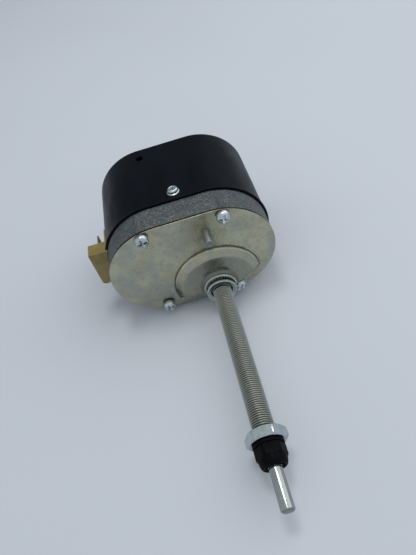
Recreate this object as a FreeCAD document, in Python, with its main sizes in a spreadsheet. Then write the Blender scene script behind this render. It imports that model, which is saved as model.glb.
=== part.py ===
import FreeCAD, Part
import math
import os

import Sketcher

# Windscreen wiper motor with a long threaded spindle.
# Millimetres. The output shaft lies along Y and comes out towards -Y. The origin is on its axis, in the
# plane where a panel seats on the front ring. X runs along the plate's long axis and Z is up.
# Sizes along Y are counted from the plate's outer face, which put() moves to its place.

os.makedirs("parts", exist_ok=True)
doc = FreeCAD.newDocument("WiperMotor")
sheet = doc.addObject("Spreadsheet::Sheet", "Dims")

V = FreeCAD.Vector
ALONG_Y = FreeCAD.Rotation(V(1, 0, 0), -90)
ALONG_X = FreeCAD.Rotation(V(0, 1, 0), 90)
UPRIGHT = FreeCAD.Rotation()


class Size:
    """A length that carries its value and the spreadsheet expression that gives it."""

    def __init__(self, value, text):
        self.value = float(value)
        self.text = text

    def __add__(self, other):
        other = size(other)
        return Size(self.value + other.value, f"({self.text} + {other.text})")

    def __sub__(self, other):
        other = size(other)
        return Size(self.value - other.value, f"({self.text} - {other.text})")

    def __mul__(self, other):
        other = size(other)
        return Size(self.value * other.value, f"({self.text} * {other.text})")

    def __truediv__(self, other):
        other = size(other)
        return Size(self.value / other.value, f"({self.text} / {other.text})")

    def __radd__(self, other):
        return size(other) + self

    def __rsub__(self, other):
        return size(other) - self

    def __rmul__(self, other):
        return size(other) * self

    def __neg__(self):
        return Size(-self.value, f"(0 - {self.text})")


def size(value):
    """Any number as a Size."""
    if isinstance(value, Size):
        return value
    return Size(value, f"({float(value):.9g})")


class Dims:
    """The driving dimensions, one spreadsheet row each."""

    row = 0

    def give(self, name, value, note):
        self.row += 1
        sheet.set(f"A{self.row}", note)
        sheet.set(f"B{self.row}", f"{value:.9g}")
        sheet.setAlias(f"B{self.row}", name)
        setattr(self, name, Size(float(f"{value:.9g}"), f"Dims.{name}"))


d = Dims()

# Outline: every shell is a flat oval, two half circles about points END_HALF either side of its middle.
d.give("plate_face", 11.7, "outer face of the front plate, behind the panel's seat")
d.give("plate_mid_x", -11.7, "middle of the oval along X")
d.give("plate_mid_z", 21.2, "middle of the oval along Z")
d.give("oval_half", 17.0, "half distance between the centres of the round ends")
d.give("plate_radius", 35.5, "round ends of the front plate")
d.give("sheet_thick", 1.4, "thickness of the plate's steel")
d.give("gasket_thick", 0.4, "gasket behind the plate")
d.give("screw_gap_x", 48.6, "plate screws, spacing along X")
d.give("screw_gap_z", 61.6, "plate screws, spacing along Z")
d.give("screw_shank", 2.0, "radius of the M4 screws")
d.give("screw_head", 4.2, "radius of the plate screws' heads")
d.give("washer_thick", 1.1, "spring washers under the plate screws")

# Dome of the plate, around the output shaft.
d.give("dome_radius", 28.4, "foot of the dome's bevel")
d.give("dome_flat", 24.2, "radius of the dome's flat top")
d.give("dome_rise", 4.6, "height of the dome above the plate")
d.give("dome_inset", 5.8, "distance from the plate's edge to the straight foot of the dome")

# Gear housing.
d.give("housing_radius", 35.3, "round ends of the casting")
d.give("cavity_radius", 32.0, "round ends of the gear cavity")
d.give("floor_front", 16.2, "front face of the casting's floor")
d.give("floor_back", 18.8, "back face of the casting's floor")
d.give("housing_back", 18.8, "end of the casting's outer wall")
d.give("skirt_radius", 33.9, "outside of the skirt that the cover slides over")
d.give("skirt_inner", 31.9, "inside of the skirt")
d.give("skirt_back", 29.0, "end of the skirt")

# Motor cover.
d.give("cover_radius", 36.0, "round ends of the cover")
d.give("cover_inner", 34.2, "inside of the cover")
d.give("cover_lip", 36.9, "lip at the cover's mouth")
d.give("lip_width", 1.2, "width of the lip")
d.give("cover_back", 83.1, "closed end of the cover")
d.give("cover_floor", 81.3, "inside of the closed end")
d.give("cover_round", 4.5, "rounding of the closed end")
d.give("side_screw_x", -11.3, "cover screws along X")
d.give("side_screw_y", 26.4, "cover screws along Y")
d.give("vent_x", -27.6, "vent hole along X")
d.give("vent_y", 71.2, "vent hole along Y")
d.give("vent_radius", 2.4, "vent hole")

# Terminal block in the cover's end.
d.give("block_low", 6.7, "lower side of the block")
d.give("block_high", 34.7, "upper side of the block")
d.give("block_out", -74.5, "outer face of the block")
d.give("block_front", 18.0, "front face of the block")
d.give("block_back", 27.5, "back face of the block's outer part")
d.give("block_slot_end", 39.0, "end of the block's tongue in the cover wall")
d.give("blade_width", 6.3, "width of the blade terminals")
d.give("blade_thick", 0.8, "thickness of the blade terminals")
d.give("blade_end", 36.0, "free end of the blades")

# Spindle.
d.give("tube_radius", 6.0, "M12 spindle tube")
d.give("tube_inner", 4.4, "bore of the tube")
d.give("tube_end", -118.5, "free end of the tube")
d.give("tube_flange", 7.0, "flange that holds the tube inside the dome")
d.give("bush_bore", 3.53, "running bore of the bushes")
d.give("shaft_radius", 3.5, "output shaft")
d.give("shaft_end", -146.0, "free end of the output shaft")
d.give("shaft_groove", -126.4, "shallow groove where the shaft leaves the seal cap")
d.give("relief", 0.7, "depth of the tube's two thread reliefs")
d.give("nut_back", -107.8, "back face of the hexagon nut")
d.give("nut_front", -113.6, "front face of the hexagon nut")
d.give("nut_flat", 10.0, "half of the nut's width across flats")
d.give("cap_back", -115.4, "back face of the seal cap")
d.give("cap_front", -125.6, "nose of the seal cap")
d.give("cap_flat", 7.5, "half of the cap's width across flats")
d.give("cap_radius", 8.2, "round of the seal cap over its hexagon's corners")
d.give("dent_floor", 4.6, "dent in the dome for one screw's head, at the plate's face")
d.give("dent_mouth", 6.8, "the same dent at the dome's face")
d.give("collar_front", -6.3, "front face of the boss pressed out of the dome")
d.give("collar_radius", 10.4, "boss at its front face")
d.give("collar_room", 9.3, "inside of the boss")
d.give("washer_front", -7.6, "front face of the plain washer")
d.give("washer_radius", 10.6, "plain washer")
d.give("tooth_front", -10.3, "front face of the tooth lock washer")
d.give("ring_front", -11.7, "front face of the front ring")
d.give("ring_radius", 9.8, "front ring")
d.give("ring_bore", 7.0, "hole of the front ring")
d.give("peg_x", 0.6, "index peg along X")
d.give("peg_z", 43.0, "index peg along Z")
d.give("peg_radius", 2.75, "index peg")
d.give("peg_length", 11.2, "free length of the index peg")

# Gear train. All four axes are parallel to Y; three of them lie on the oval's centre line.
ARMATURE_TEETH = 12
FIRST_WHEEL_TEETH = 72
SECOND_PINION_TEETH = 12
CRANK_TEETH = 68
PRESSURE_ANGLE = math.radians(25)
FINE, COARSE = 0.5, 0.75
first_distance = FINE * (ARMATURE_TEETH + FIRST_WHEEL_TEETH) / 2
second_distance = COARSE * (SECOND_PINION_TEETH + CRANK_TEETH) / 2
d.give("fine_module", FINE, "module of the first gear pair")
d.give("coarse_module", COARSE, "module of the second gear pair")
d.give("armature_x", d.plate_mid_x.value, "armature axis along X")
d.give("middle_x", d.plate_mid_x.value + first_distance, "intermediate gear axis along X")
d.give("crank_x", d.plate_mid_x.value + first_distance - second_distance, "crank wheel axis along X")
d.give("backlash", 0.05, "tooth thinning, each flank, at the pitch circle")
d.give("crank_web_front", 5.6, "front face of the crank wheel")
d.give("crank_web_back", 9.8, "back face of the crank wheel")
d.give("middle_wheel_front", 11.2, "front face of the intermediate wheel")
d.give("middle_wheel_back", 14.8, "back face of the intermediate wheel")
d.give("crank_axle", 3.0, "crank wheel axle")
d.give("middle_axle", 2.0, "intermediate gear axle")
d.give("play", 0.03, "running clearance of the bores on their axles, on the radius")

# Four-bar linkage: crank, rod and rocker. The two dead centres are half a crank turn apart.
SWING = 105.0
ROCKER = 17.0
half_swing = math.radians(SWING / 2)
crank_throw = ROCKER * math.sin(half_swing)
centre_gap = math.hypot(d.crank_x.value, d.plate_mid_z.value)
chord_gap = ROCKER * math.cos(half_swing)
rod_length = math.sqrt(centre_gap**2 - chord_gap**2)
line_angle = math.atan2(-d.plate_mid_z.value, -d.crank_x.value) + math.asin(chord_gap / centre_gap)
line_x, line_z = math.cos(line_angle), math.sin(line_angle)
d.give("rocker_arm", ROCKER, "output axis to rocker pin")
d.give("crank_throw", crank_throw, "crank axis to crank pin")
d.give("rod_span", rod_length, "between the rod's pins")
d.give("rocker_pin_x", d.crank_x.value + (rod_length - crank_throw) * line_x, "rocker pin at rest, X")
d.give("rocker_pin_z", d.plate_mid_z.value + (rod_length - crank_throw) * line_z, "rocker pin at rest, Z")
d.give("crank_pin_x", d.crank_x.value - crank_throw * line_x, "crank pin at rest, X")
d.give("crank_pin_z", d.plate_mid_z.value - crank_throw * line_z, "crank pin at rest, Z")
d.give("rocker_front", -1.6, "front face of the rocker lever")
d.give("rocker_back", 1.1, "back face of the rocker lever")
d.give("rod_front", 2.3, "front face of the connecting rod")
d.give("rod_back", 4.5, "back face of the connecting rod")
d.give("link_pin", 2.5, "radius of the two link pins")

# Motor.
d.give("can_radius", 30.5, "outside of the motor can")
d.give("can_inner", 28.9, "inside of the motor can")
d.give("can_front", 18.8, "mouth of the can")
d.give("can_back", 70.5, "closed end of the can")
d.give("magnet_inner", 22.6, "inside of the magnets")
d.give("core_radius", 22.0, "armature core")
d.give("core_front", 37.0, "front of the core")
d.give("core_back", 61.0, "back of the core")
d.give("commutator_radius", 8.0, "commutator")
d.give("armature_shaft", 2.5, "armature shaft")
d.give("pinion_seat", 1.5, "armature shaft under its pinion")
doc.recompute()

rest_turn = math.degrees(math.atan2(d.rocker_pin_z.value, d.rocker_pin_x.value))
rod_turn = math.degrees(math.atan2(
    d.rocker_pin_z.value - d.crank_pin_z.value, d.rocker_pin_x.value - d.crank_pin_x.value))


# Helpers for objects.

def bind(obj, prop, value):
    """Sets a property from a Size and binds it to the sheet."""
    obj.setExpression(prop, size(value).text)


def put(obj, x=0, y=0, z=0, turn=UPRIGHT):
    """Places an object, y counted from the plate's outer face, with its position bound to the sheet."""
    x, y, z = size(x), size(y) + d.plate_face, size(z)
    obj.Placement = FreeCAD.Placement(V(x.value, y.value, z.value), turn)
    for axis, value in (("x", x), ("y", y), ("z", z)):
        if value.value or "Dims" in value.text:
            bind(obj, f"Placement.Base.{axis}", value)
    return obj


def cylinder(name, radius, front, back, x=0, z=0):
    """A cylinder along Y, from y = front to y = back."""
    obj = doc.addObject("Part::Cylinder", name)
    bind(obj, "Radius", radius)
    bind(obj, "Height", size(back) - front)
    return put(obj, x, front, z, ALONG_Y)


def post(name, radius, low, high, x=0, y=0):
    """A cylinder along Z, from z = low to z = high."""
    obj = doc.addObject("Part::Cylinder", name)
    bind(obj, "Radius", radius)
    bind(obj, "Height", size(high) - low)
    return put(obj, x, y, low)


def cone(name, front_radius, back_radius, front, back, x=0, z=0):
    """A cone along Y."""
    obj = doc.addObject("Part::Cone", name)
    bind(obj, "Radius1", front_radius)
    bind(obj, "Radius2", back_radius)
    bind(obj, "Height", size(back) - front)
    return put(obj, x, front, z, ALONG_Y)


def box(name, x0, x1, y0, y1, z0, z1):
    """A box between two corners."""
    obj = doc.addObject("Part::Box", name)
    bind(obj, "Length", size(x1) - x0)
    bind(obj, "Width", size(y1) - y0)
    bind(obj, "Height", size(z1) - z0)
    return put(obj, x0, y0, z0)


def fuse(name, *shapes):
    obj = doc.addObject("Part::MultiFuse", name)
    obj.Shapes = list(shapes)
    obj.Refine = True
    return obj


def cut(name, base, *tools):
    for i, tool in enumerate(tools):
        last = i == len(tools) - 1
        obj = doc.addObject("Part::Cut", name if last else f"{name}_step{i + 1}")
        obj.Base = base
        obj.Tool = tool
        base = obj
    return base


def common(name, *shapes):
    obj = doc.addObject("Part::MultiCommon", name)
    obj.Shapes = list(shapes)
    return obj


def group(name, *shapes):
    """Separate solids in one node."""
    obj = doc.addObject("Part::Compound", name)
    obj.Links = list(shapes)
    return obj


def mirror(name, source, normal, x=0, z=0):
    """The source's mirror image in a plane through (x, 0, z)."""
    obj = doc.addObject("Part::Mirroring", name)
    obj.Source = source
    obj.Normal = normal
    obj.Base = V(size(x).value, 0, size(z).value)
    for axis, value in (("x", x), ("z", z)):
        if "Dims" in size(value).text:
            bind(obj, f"Base.{axis}", value)
    return obj


# Helpers for PartDesign bodies.

def new_body(name, x=0, z=0):
    body = doc.addObject("PartDesign::Body", name)
    return put(body, x, 0, z)


def new_sketch(body, name, role, at=0):
    """A sketch on one of the body's origin planes, moved along the plane's row axis to at."""
    sketch = body.newObject("Sketcher::SketchObject", name)
    plane = [f for f in body.Origin.OriginFeatures if f.Role == role][0]
    sketch.AttachmentSupport = (plane, "")
    sketch.MapMode = "FlatFace"
    away = -size(at) if role == "XZ_Plane" else size(at)
    if away.value or "Dims" in away.text:
        bind(sketch, "AttachmentOffset.Base.z", away)
    return sketch


def pin_point(sketch, geometry, end, x, z):
    """Holds one point of a sketch at a bound position."""
    for kind, axis, value in (("DistanceX", -2, size(x)), ("DistanceY", -1, size(z))):
        if value.value == 0:
            sketch.addConstraint(Sketcher.Constraint("PointOnObject", geometry, end, axis))
            continue
        index = sketch.addConstraint(Sketcher.Constraint(kind, -1, 1, geometry, end, value.value))
        if "Dims" in value.text:
            bind(sketch, f"Constraints[{index}]", value)


def circle(sketch, radius, x=0, z=0):
    radius, x, z = size(radius), size(x), size(z)
    index = sketch.addGeometry(Part.Circle(V(x.value, z.value, 0), V(0, 0, 1), radius.value), False)
    pin_point(sketch, index, 3, x, z)
    held = sketch.addConstraint(Sketcher.Constraint("Radius", index, radius.value))
    if "Dims" in radius.text:
        bind(sketch, f"Constraints[{held}]", radius)


def oval(sketch, radius, half=None, x=None, z=None):
    """A flat oval: two half circles joined by two straight lines."""
    half = size(d.oval_half if half is None else half)
    x = size(d.plate_mid_x if x is None else x)
    z = size(d.plate_mid_z if z is None else z)
    radius = size(radius)
    r, h, cx, cz = radius.value, half.value, x.value, z.value
    right = Part.ArcOfCircle(Part.Circle(V(cx + h, cz, 0), V(0, 0, 1), r), -math.pi / 2, math.pi / 2)
    left = Part.ArcOfCircle(Part.Circle(V(cx - h, cz, 0), V(0, 0, 1), r), math.pi / 2, 1.5 * math.pi)
    top = Part.LineSegment(V(cx + h, cz + r, 0), V(cx - h, cz + r, 0))
    low = Part.LineSegment(V(cx - h, cz - r, 0), V(cx + h, cz - r, 0))
    first = sketch.addGeometry([right, top, left, low], False)[0]
    a, b, c, e = first, first + 1, first + 2, first + 3
    sketch.addConstraint([
        Sketcher.Constraint("Tangent", a, 2, b, 1),
        Sketcher.Constraint("Tangent", b, 2, c, 1),
        Sketcher.Constraint("Tangent", c, 2, e, 1),
        Sketcher.Constraint("Tangent", e, 2, a, 1),
        Sketcher.Constraint("Equal", a, c),
    ])
    pin_point(sketch, a, 3, x + half, z)
    pin_point(sketch, c, 3, x - half, z)
    held = sketch.addConstraint(Sketcher.Constraint("Radius", a, r))
    bind(sketch, f"Constraints[{held}]", radius)


def outline(sketch, points):
    """A closed outline of straight lines through bound points."""
    points = [(size(x), size(z)) for x, z in points]
    count = len(points)
    for i in range(count):
        (x0, z0), (x1, z1) = points[i], points[(i + 1) % count]
        sketch.addGeometry(Part.LineSegment(V(x0.value, z0.value, 0), V(x1.value, z1.value, 0)), False)
    for i in range(count):
        sketch.addConstraint(Sketcher.Constraint("Coincident", i, 2, (i + 1) % count, 1))
    for i, (x, z) in enumerate(points):
        pin_point(sketch, i, 1, x, z)


def pad(body, sketch, length, backwards=False):
    """Extrudes a sketch. On the XZ plane, backwards runs towards +Y."""
    obj = body.newObject("PartDesign::Pad", f"{sketch.Name}_pad")
    obj.Profile = sketch
    bind(obj, "Length", length)
    obj.Reversed = backwards
    doc.recompute()
    return obj


def pocket(body, sketch, length, backwards=False):
    """Cuts a sketch out of the body, and checks that something was cut."""
    before = body.Shape.Volume
    obj = body.newObject("PartDesign::Pocket", f"{sketch.Name}_pocket")
    obj.Profile = sketch
    bind(obj, "Length", length)
    obj.Reversed = backwards
    doc.recompute()
    if body.Shape.Volume > before - 0.01:
        raise ValueError(f"{obj.Name} cut nothing")
    return obj


def round_edges(body, name, radius, wanted, chamfer=False):
    """Rounds or chamfers the edges of the body's tip that wanted accepts."""
    kind = "PartDesign::Chamfer" if chamfer else "PartDesign::Fillet"
    tip = body.Tip
    names = [f"Edge{i + 1}" for i, edge in enumerate(tip.Shape.Edges) if wanted(edge)]
    obj = body.newObject(kind, name)
    obj.Base = (tip, names)
    bind(obj, "Size" if chamfer else "Radius", radius)
    doc.recompute()
    return obj


def lies_at(axis, value):
    """Accepts edges that lie in the plane axis = value."""
    low, high = f"{axis}Min", f"{axis}Max"

    def wanted(edge):
        bounds = edge.BoundBox
        return abs(getattr(bounds, low) - value) < 0.01 and abs(getattr(bounds, high) - value) < 0.01

    return wanted


def turned(name, points, x=0, z=0):
    """A turned piece about an axis along Y through (x, z). Points are (radius, y)."""
    body = new_body(name, x, z)
    sketch = new_sketch(body, f"{name}_profile", "XY_Plane")
    outline(sketch, points)
    obj = body.newObject("PartDesign::Revolution", f"{name}_turn")
    obj.Profile = sketch
    obj.ReferenceAxis = (sketch, ["V_Axis"])
    obj.Angle = 360
    return body


def ring(name, outer, inner, front, back, x=0, z=0):
    """A turned ring or tube."""
    return turned(name, [(inner, front), (outer, front), (outer, back), (inner, back)], x, z)


SCREWS = [
    (d.plate_mid_x + sx * d.screw_gap_x / 2, d.plate_mid_z + sz * d.screw_gap_z / 2)
    for sx in (-1, 1) for sz in (-1, 1)
]
GASKET_BACK = d.sheet_thick + d.gasket_thick
DOME_TOP = -d.dome_rise
MID_Z = d.plate_mid_z


# Front plate: a flat sheet with the dome pressed out of it.

def oval_block(name, radius, front, back, taper=0.0):
    """A flat-oval prism along Y, its sides leaning in by taper degrees towards -Y."""
    sketch = doc.addObject("Sketcher::SketchObject", f"{name}_sketch")
    oval(sketch, radius)
    put(sketch, 0, back, 0, FreeCAD.Rotation(V(1, 0, 0), 90))
    obj = doc.addObject("Part::Extrusion", name)
    obj.Base = sketch
    obj.DirMode = "Custom"
    obj.Dir = V(0, -1, 0)
    obj.Solid = True
    bind(obj, "LengthFwd", size(back) - front)
    if taper:
        obj.TaperAngle = -taper
    return obj


def dome(name, shrink, front, back):
    """The dome's solid: a cone, cut straight along the plate's lower side with the same bevel."""
    lean = math.degrees(math.atan((d.dome_radius.value - d.dome_flat.value) / d.dome_rise.value))
    round_part = cone(f"{name}_cone", d.dome_flat - shrink, d.dome_radius - shrink, front, back)
    straight = oval_block(f"{name}_oval", d.plate_radius - d.dome_inset - shrink, front, back, lean)
    return common(name, round_part, straight)


def build_front_plate():
    sheet_body = oval_block("plate_sheet", d.plate_radius, 0, d.sheet_thick)
    outer = dome("dome_outer", 0, DOME_TOP, 0)
    inner = dome("dome_inner", 1.1, DOME_TOP + d.sheet_thick, d.sheet_thick)
    collar = cone("plate_boss", d.collar_radius, d.collar_radius + 0.5, d.collar_front, 0)
    boss_room = cylinder("plate_boss_room", d.collar_room, DOME_TOP + d.sheet_thick, d.sheet_thick)
    x, z = SCREWS[2]
    dent = cone("screw_dent", d.dent_mouth, d.dent_floor, DOME_TOP - 1.0, 0, x, z)
    dent_inside = cone("screw_dent_inside", d.dent_mouth + 0.9, d.dent_floor + 0.9, DOME_TOP, 1.4, x, z)
    raised = cut("dome_dented", fuse("dome_collared", outer, collar), dent)
    solid = fuse("plate_solid", sheet_body, raised)
    inner = cut("dome_room", fuse("dome_space", inner, boss_room), dent_inside)
    holes = [cylinder(f"plate_hole_{i}", d.screw_shank + 0.2, -1, 3, x, z) for i, (x, z) in enumerate(SCREWS)]
    bore = cylinder("plate_bore", d.tube_radius, -9, 3)
    peg_hole = cylinder("plate_peg_hole", d.peg_radius - 0.75, -1, 3, d.peg_x, d.peg_z)
    return cut("front_plate", solid, inner, bore, peg_hole, *holes)


front_plate = build_front_plate()


def build_gasket():
    body = new_body("plate_gasket")
    face = new_sketch(body, "gasket_outline", "XZ_Plane", d.sheet_thick)
    oval(face, d.plate_radius - 0.1)
    oval(face, d.cavity_radius)
    pad(body, face, d.gasket_thick, True)
    ears = new_sketch(body, "gasket_ears", "XZ_Plane", d.sheet_thick)
    for x, z in SCREWS:
        circle(ears, 4.2, x, z)
    pad(body, ears, d.gasket_thick, True)
    holes = new_sketch(body, "gasket_holes", "XZ_Plane", d.sheet_thick)
    for x, z in SCREWS:
        circle(holes, d.screw_shank + 0.2, x, z)
    pocket(body, holes, d.gasket_thick)
    trim = new_sketch(body, "gasket_trim", "XZ_Plane", d.sheet_thick)
    oval(trim, d.plate_radius + 8)
    oval(trim, d.plate_radius - 0.1)
    pocket(body, trim, d.gasket_thick)
    return body


plate_gasket = build_gasket()


# Gear housing: a die casting with a cavity in front and a skirt behind.

def build_housing():
    body = new_body("gear_housing")
    wall = new_sketch(body, "housing_outline", "XZ_Plane", GASKET_BACK)
    oval(wall, d.housing_radius)
    pad(body, wall, d.housing_back - GASKET_BACK, True)
    skirt = new_sketch(body, "housing_skirt", "XZ_Plane", d.floor_back)
    oval(skirt, d.skirt_radius)
    pad(body, skirt, d.skirt_back - d.floor_back, True)
    hollow = new_sketch(body, "housing_hollow", "XZ_Plane", d.floor_back)
    oval(hollow, d.skirt_inner)
    pocket(body, hollow, d.skirt_back - d.floor_back)
    cavity = new_sketch(body, "housing_cavity", "XZ_Plane", GASKET_BACK)
    oval(cavity, d.cavity_radius)
    pocket(body, cavity, d.floor_front - GASKET_BACK)
    bosses = new_sketch(body, "housing_bosses", "XZ_Plane", GASKET_BACK)
    for x, z in SCREWS:
        circle(bosses, 4.2, x, z)
    pad(body, bosses, d.floor_front + 0.5 - GASKET_BACK, True)
    trim = new_sketch(body, "housing_trim", "XZ_Plane", GASKET_BACK)
    oval(trim, d.housing_radius + 8)
    oval(trim, d.housing_radius)
    pocket(body, trim, d.floor_front - GASKET_BACK)
    threads = new_sketch(body, "housing_threads", "XZ_Plane", GASKET_BACK)
    for x, z in SCREWS:
        circle(threads, d.screw_shank, x, z)
    pocket(body, threads, size(11.0))
    axle_boss = new_sketch(body, "housing_axle_bosses", "XZ_Plane", d.floor_front - 2.6)
    circle(axle_boss, 4.6, d.crank_x, MID_Z)
    pad(body, axle_boss, size(3.0), True)
    low_boss = new_sketch(body, "housing_low_boss", "XZ_Plane", d.middle_wheel_back + 0.4)
    circle(low_boss, 4.2, d.middle_x, MID_Z)
    pad(body, low_boss, size(1.5), True)
    bores = new_sketch(body, "housing_bores", "XZ_Plane", d.floor_front - 3.0)
    circle(bores, d.crank_axle, d.crank_x, MID_Z)
    circle(bores, d.middle_axle, d.middle_x, MID_Z)
    pocket(body, bores, size(3.0))
    through = new_sketch(body, "housing_middle_bore", "XZ_Plane", d.floor_front - 3.0)
    circle(through, d.middle_axle, d.middle_x, MID_Z)
    pocket(body, through, d.floor_back + 3.0 - d.floor_front)
    hub = new_sketch(body, "housing_bearing_hub", "XZ_Plane", d.floor_front)
    circle(hub, 8.6, d.armature_x, MID_Z)
    pad(body, hub, size(5.4), True)
    seat = new_sketch(body, "housing_bearing_seat", "XZ_Plane", d.floor_front - 0.5)
    circle(seat, 6.5, d.armature_x, MID_Z)
    pocket(body, seat, size(6.5))
    for side, name in ((1, "housing_top_screw"), (-1, "housing_low_screw")):
        hole = new_sketch(body, name, "XY_Plane", d.plate_mid_z)
        circle(hole, d.screw_shank, d.side_screw_x, d.side_screw_y)
        pocket(body, hole, size(36.0), side > 0)
    return body


gear_housing = build_housing()


# Motor cover.

def build_cover():
    body = new_body("motor_cover")
    shell = new_sketch(body, "cover_outline", "XZ_Plane", d.housing_back)
    oval(shell, d.cover_radius)
    pad(body, shell, d.cover_back - d.housing_back, True)
    round_edges(body, "cover_rounding", d.cover_round, lies_at("Y", d.cover_back.value))
    lip = new_sketch(body, "cover_lip_outline", "XZ_Plane", d.housing_back)
    oval(lip, d.cover_lip)
    pad(body, lip, d.lip_width, True)
    hollow = new_sketch(body, "cover_hollow", "XZ_Plane", d.housing_back)
    oval(hollow, d.cover_inner)
    pocket(body, hollow, d.cover_floor - d.housing_back)
    vent = new_sketch(body, "cover_vent", "XY_Plane", d.plate_mid_z)
    circle(vent, d.vent_radius, d.vent_x, d.vent_y)
    pocket(body, vent, size(40.0), True)
    for side, name in ((1, "cover_top_hole"), (-1, "cover_low_hole")):
        hole = new_sketch(body, name, "XY_Plane", d.plate_mid_z)
        circle(hole, d.screw_shank + 0.2, d.side_screw_x, d.side_screw_y)
        pocket(body, hole, size(40.0), side > 0)
    slot = new_sketch(body, "cover_slot", "YZ_Plane", d.plate_mid_x - 40)
    outline(slot, [(d.housing_back - 1, d.block_low), (d.block_slot_end, d.block_low),
                   (d.block_slot_end, d.block_high), (d.housing_back - 1, d.block_high)])
    pocket(body, slot, size(20.0))
    return body


motor_cover = build_cover()

# Terminal block: a flange outside the cover, and a tongue that fills a slot in the cover's end wall.

BLADE_X = -68.0
LEG_X = -63.9
BLADES = ((11.2, 12.2), (20.7, 19.5), (30.2, 26.8))


def blade(tag, middle, leg_low):
    """One terminal: a free blade, a bridge and a leg inside the block, and a solder tag."""
    thick, leg = d.blade_thick, 2.4
    free = box(f"blade_{tag}", BLADE_X, d.blade_thick + BLADE_X, 21.0, d.blade_end,
               size(middle) - d.blade_width / 2, size(middle) + d.blade_width / 2)
    bridge = box(f"bridge_{tag}", BLADE_X, LEG_X + thick, 21.0, thick + 21.0, leg_low, leg_low + leg)
    long_leg = box(f"leg_{tag}", LEG_X, LEG_X + thick, 21.0, thick + 33.8, leg_low, leg_low + leg)
    inner = box(f"tag_{tag}", LEG_X, -57.5, 33.8, thick + 33.8, leg_low, leg_low + leg)
    return fuse(f"terminal_{tag}", free, bridge, long_leg, inner)


terminals = group("terminals", *[blade(i + 1, middle, low) for i, (middle, low) in enumerate(BLADES)])


def build_terminal_block():
    flange = box("block_flange", d.block_out, -61, d.block_front, d.block_back, d.block_low, d.block_high)
    rounded = doc.addObject("Part::Fillet", "block_rounding")
    rounded.Base = flange
    doc.recompute()
    corner = [i + 1 for i, e in enumerate(flange.Shape.Edges)
              if abs(e.BoundBox.XMax - d.block_out.value) < 0.01 and e.BoundBox.YLength > 1]
    low, high = sorted(corner, key=lambda i: flange.Shape.Edges[i - 1].BoundBox.ZMin)
    rounded.Edges = [(low, 2.2, 2.2), (high, 0.8, 0.8)]
    strip = box("block_strip", -69, -58, d.housing_back, d.block_slot_end, d.block_low, d.block_high)
    shape = oval_block("block_tongue_oval", d.cover_radius + 0.8, d.housing_back, d.block_slot_end)
    tongue = common("block_tongue", strip, shape)
    solid = fuse("block_solid", rounded, tongue)
    casting = oval_block("block_casting_room", d.housing_radius, 10, d.housing_back)
    room = oval_block("block_skirt_room", d.skirt_radius, 10, d.skirt_back + 0.2)
    return cut("terminal_block", solid, casting, room, terminals)


terminal_block = build_terminal_block()


# Screws.

def cross_recess(name, x, z, front, depth, reach=2.3, width=0.95):
    """Two crossed slots, along Y from y = front."""
    across = box(f"{name}_across", size(x) - reach, size(x) + reach, front, size(front) + depth,
                 size(z) - width / 2, size(z) + width / 2)
    upright = box(f"{name}_upright", size(x) - width / 2, size(x) + width / 2, front, size(front) + depth,
                  size(z) - reach, size(z) + reach)
    return fuse(name, across, upright)


def build_plate_screws():
    x, z = SCREWS[0]
    body = turned("plate_screw_turned", [
        (0, -5.0), (2.0, -5.0), (3.1, -4.7), (3.85, -3.9), (d.screw_head, -2.7),
        (d.screw_head, -d.washer_thick),
        (d.screw_shank, -d.washer_thick), (d.screw_shank, 10.0), (1.4, 10.8), (0, 10.8)], x, z)
    screw = cut("plate_screw", body, cross_recess("plate_screw_recess", x, z, -5.1, 1.9))
    across = mirror("plate_screw_across", screw, V(1, 0, 0), d.plate_mid_x, 0)
    pair = group("plate_screw_pair", screw, across)
    upper = mirror("plate_screw_upper", pair, V(0, 0, 1), 0, d.plate_mid_z)
    return group("plate_screws", screw, across, upper)


plate_screws = build_plate_screws()


def build_screw_washers():
    x, z = SCREWS[0]
    whole = ring("spring_washer_ring", d.screw_head - 0.3, d.screw_shank, -d.washer_thick, 0, x, z)
    split = box("spring_washer_split", x - 0.3, x + 0.3, -3, 1, z + 1, z + 6)
    washer = cut("spring_washer", whole, split)
    across = mirror("spring_washer_across", washer, V(1, 0, 0), d.plate_mid_x, 0)
    pair = group("spring_washer_pair", washer, across)
    upper = mirror("spring_washer_upper", pair, V(0, 0, 1), 0, d.plate_mid_z)
    return group("screw_washers", washer, across, upper)


screw_washers = build_screw_washers()


def build_cover_screws():
    wall = d.plate_mid_z + d.cover_radius
    flange = post("cover_screw_flange", 4.0, wall, wall + 0.8, d.side_screw_x, d.side_screw_y)
    head = post("cover_screw_head", 3.25, wall + 0.8, wall + 2.8, d.side_screw_x, d.side_screw_y)
    shank = post("cover_screw_shank", d.screw_shank, wall - 5.0, wall, d.side_screw_x, d.side_screw_y)
    solid = fuse("cover_screw_solid", flange, head, shank)
    socket = doc.addObject("Part::Prism", "cover_screw_socket")
    socket.Polygon = 6
    socket.Circumradius = 1.7
    socket.Height = 2
    put(socket, d.side_screw_x, d.side_screw_y, wall + 1.3)
    screw = cut("cover_screw", solid, socket)
    return group("cover_screws", screw, mirror("cover_screw_low", screw, V(0, 0, 1), 0, d.plate_mid_z))


cover_screws = build_cover_screws()

# Index peg, riveted into the plate.
index_peg = turned("index_peg", [
    (0, -d.peg_length), (d.peg_radius - 0.4, -d.peg_length), (d.peg_radius, 0.4 - d.peg_length),
    (d.peg_radius, 0), (d.peg_radius - 0.75, 0), (d.peg_radius - 0.75, d.sheet_thick),
    (0, d.sheet_thick)], d.peg_x, d.peg_z)

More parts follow.
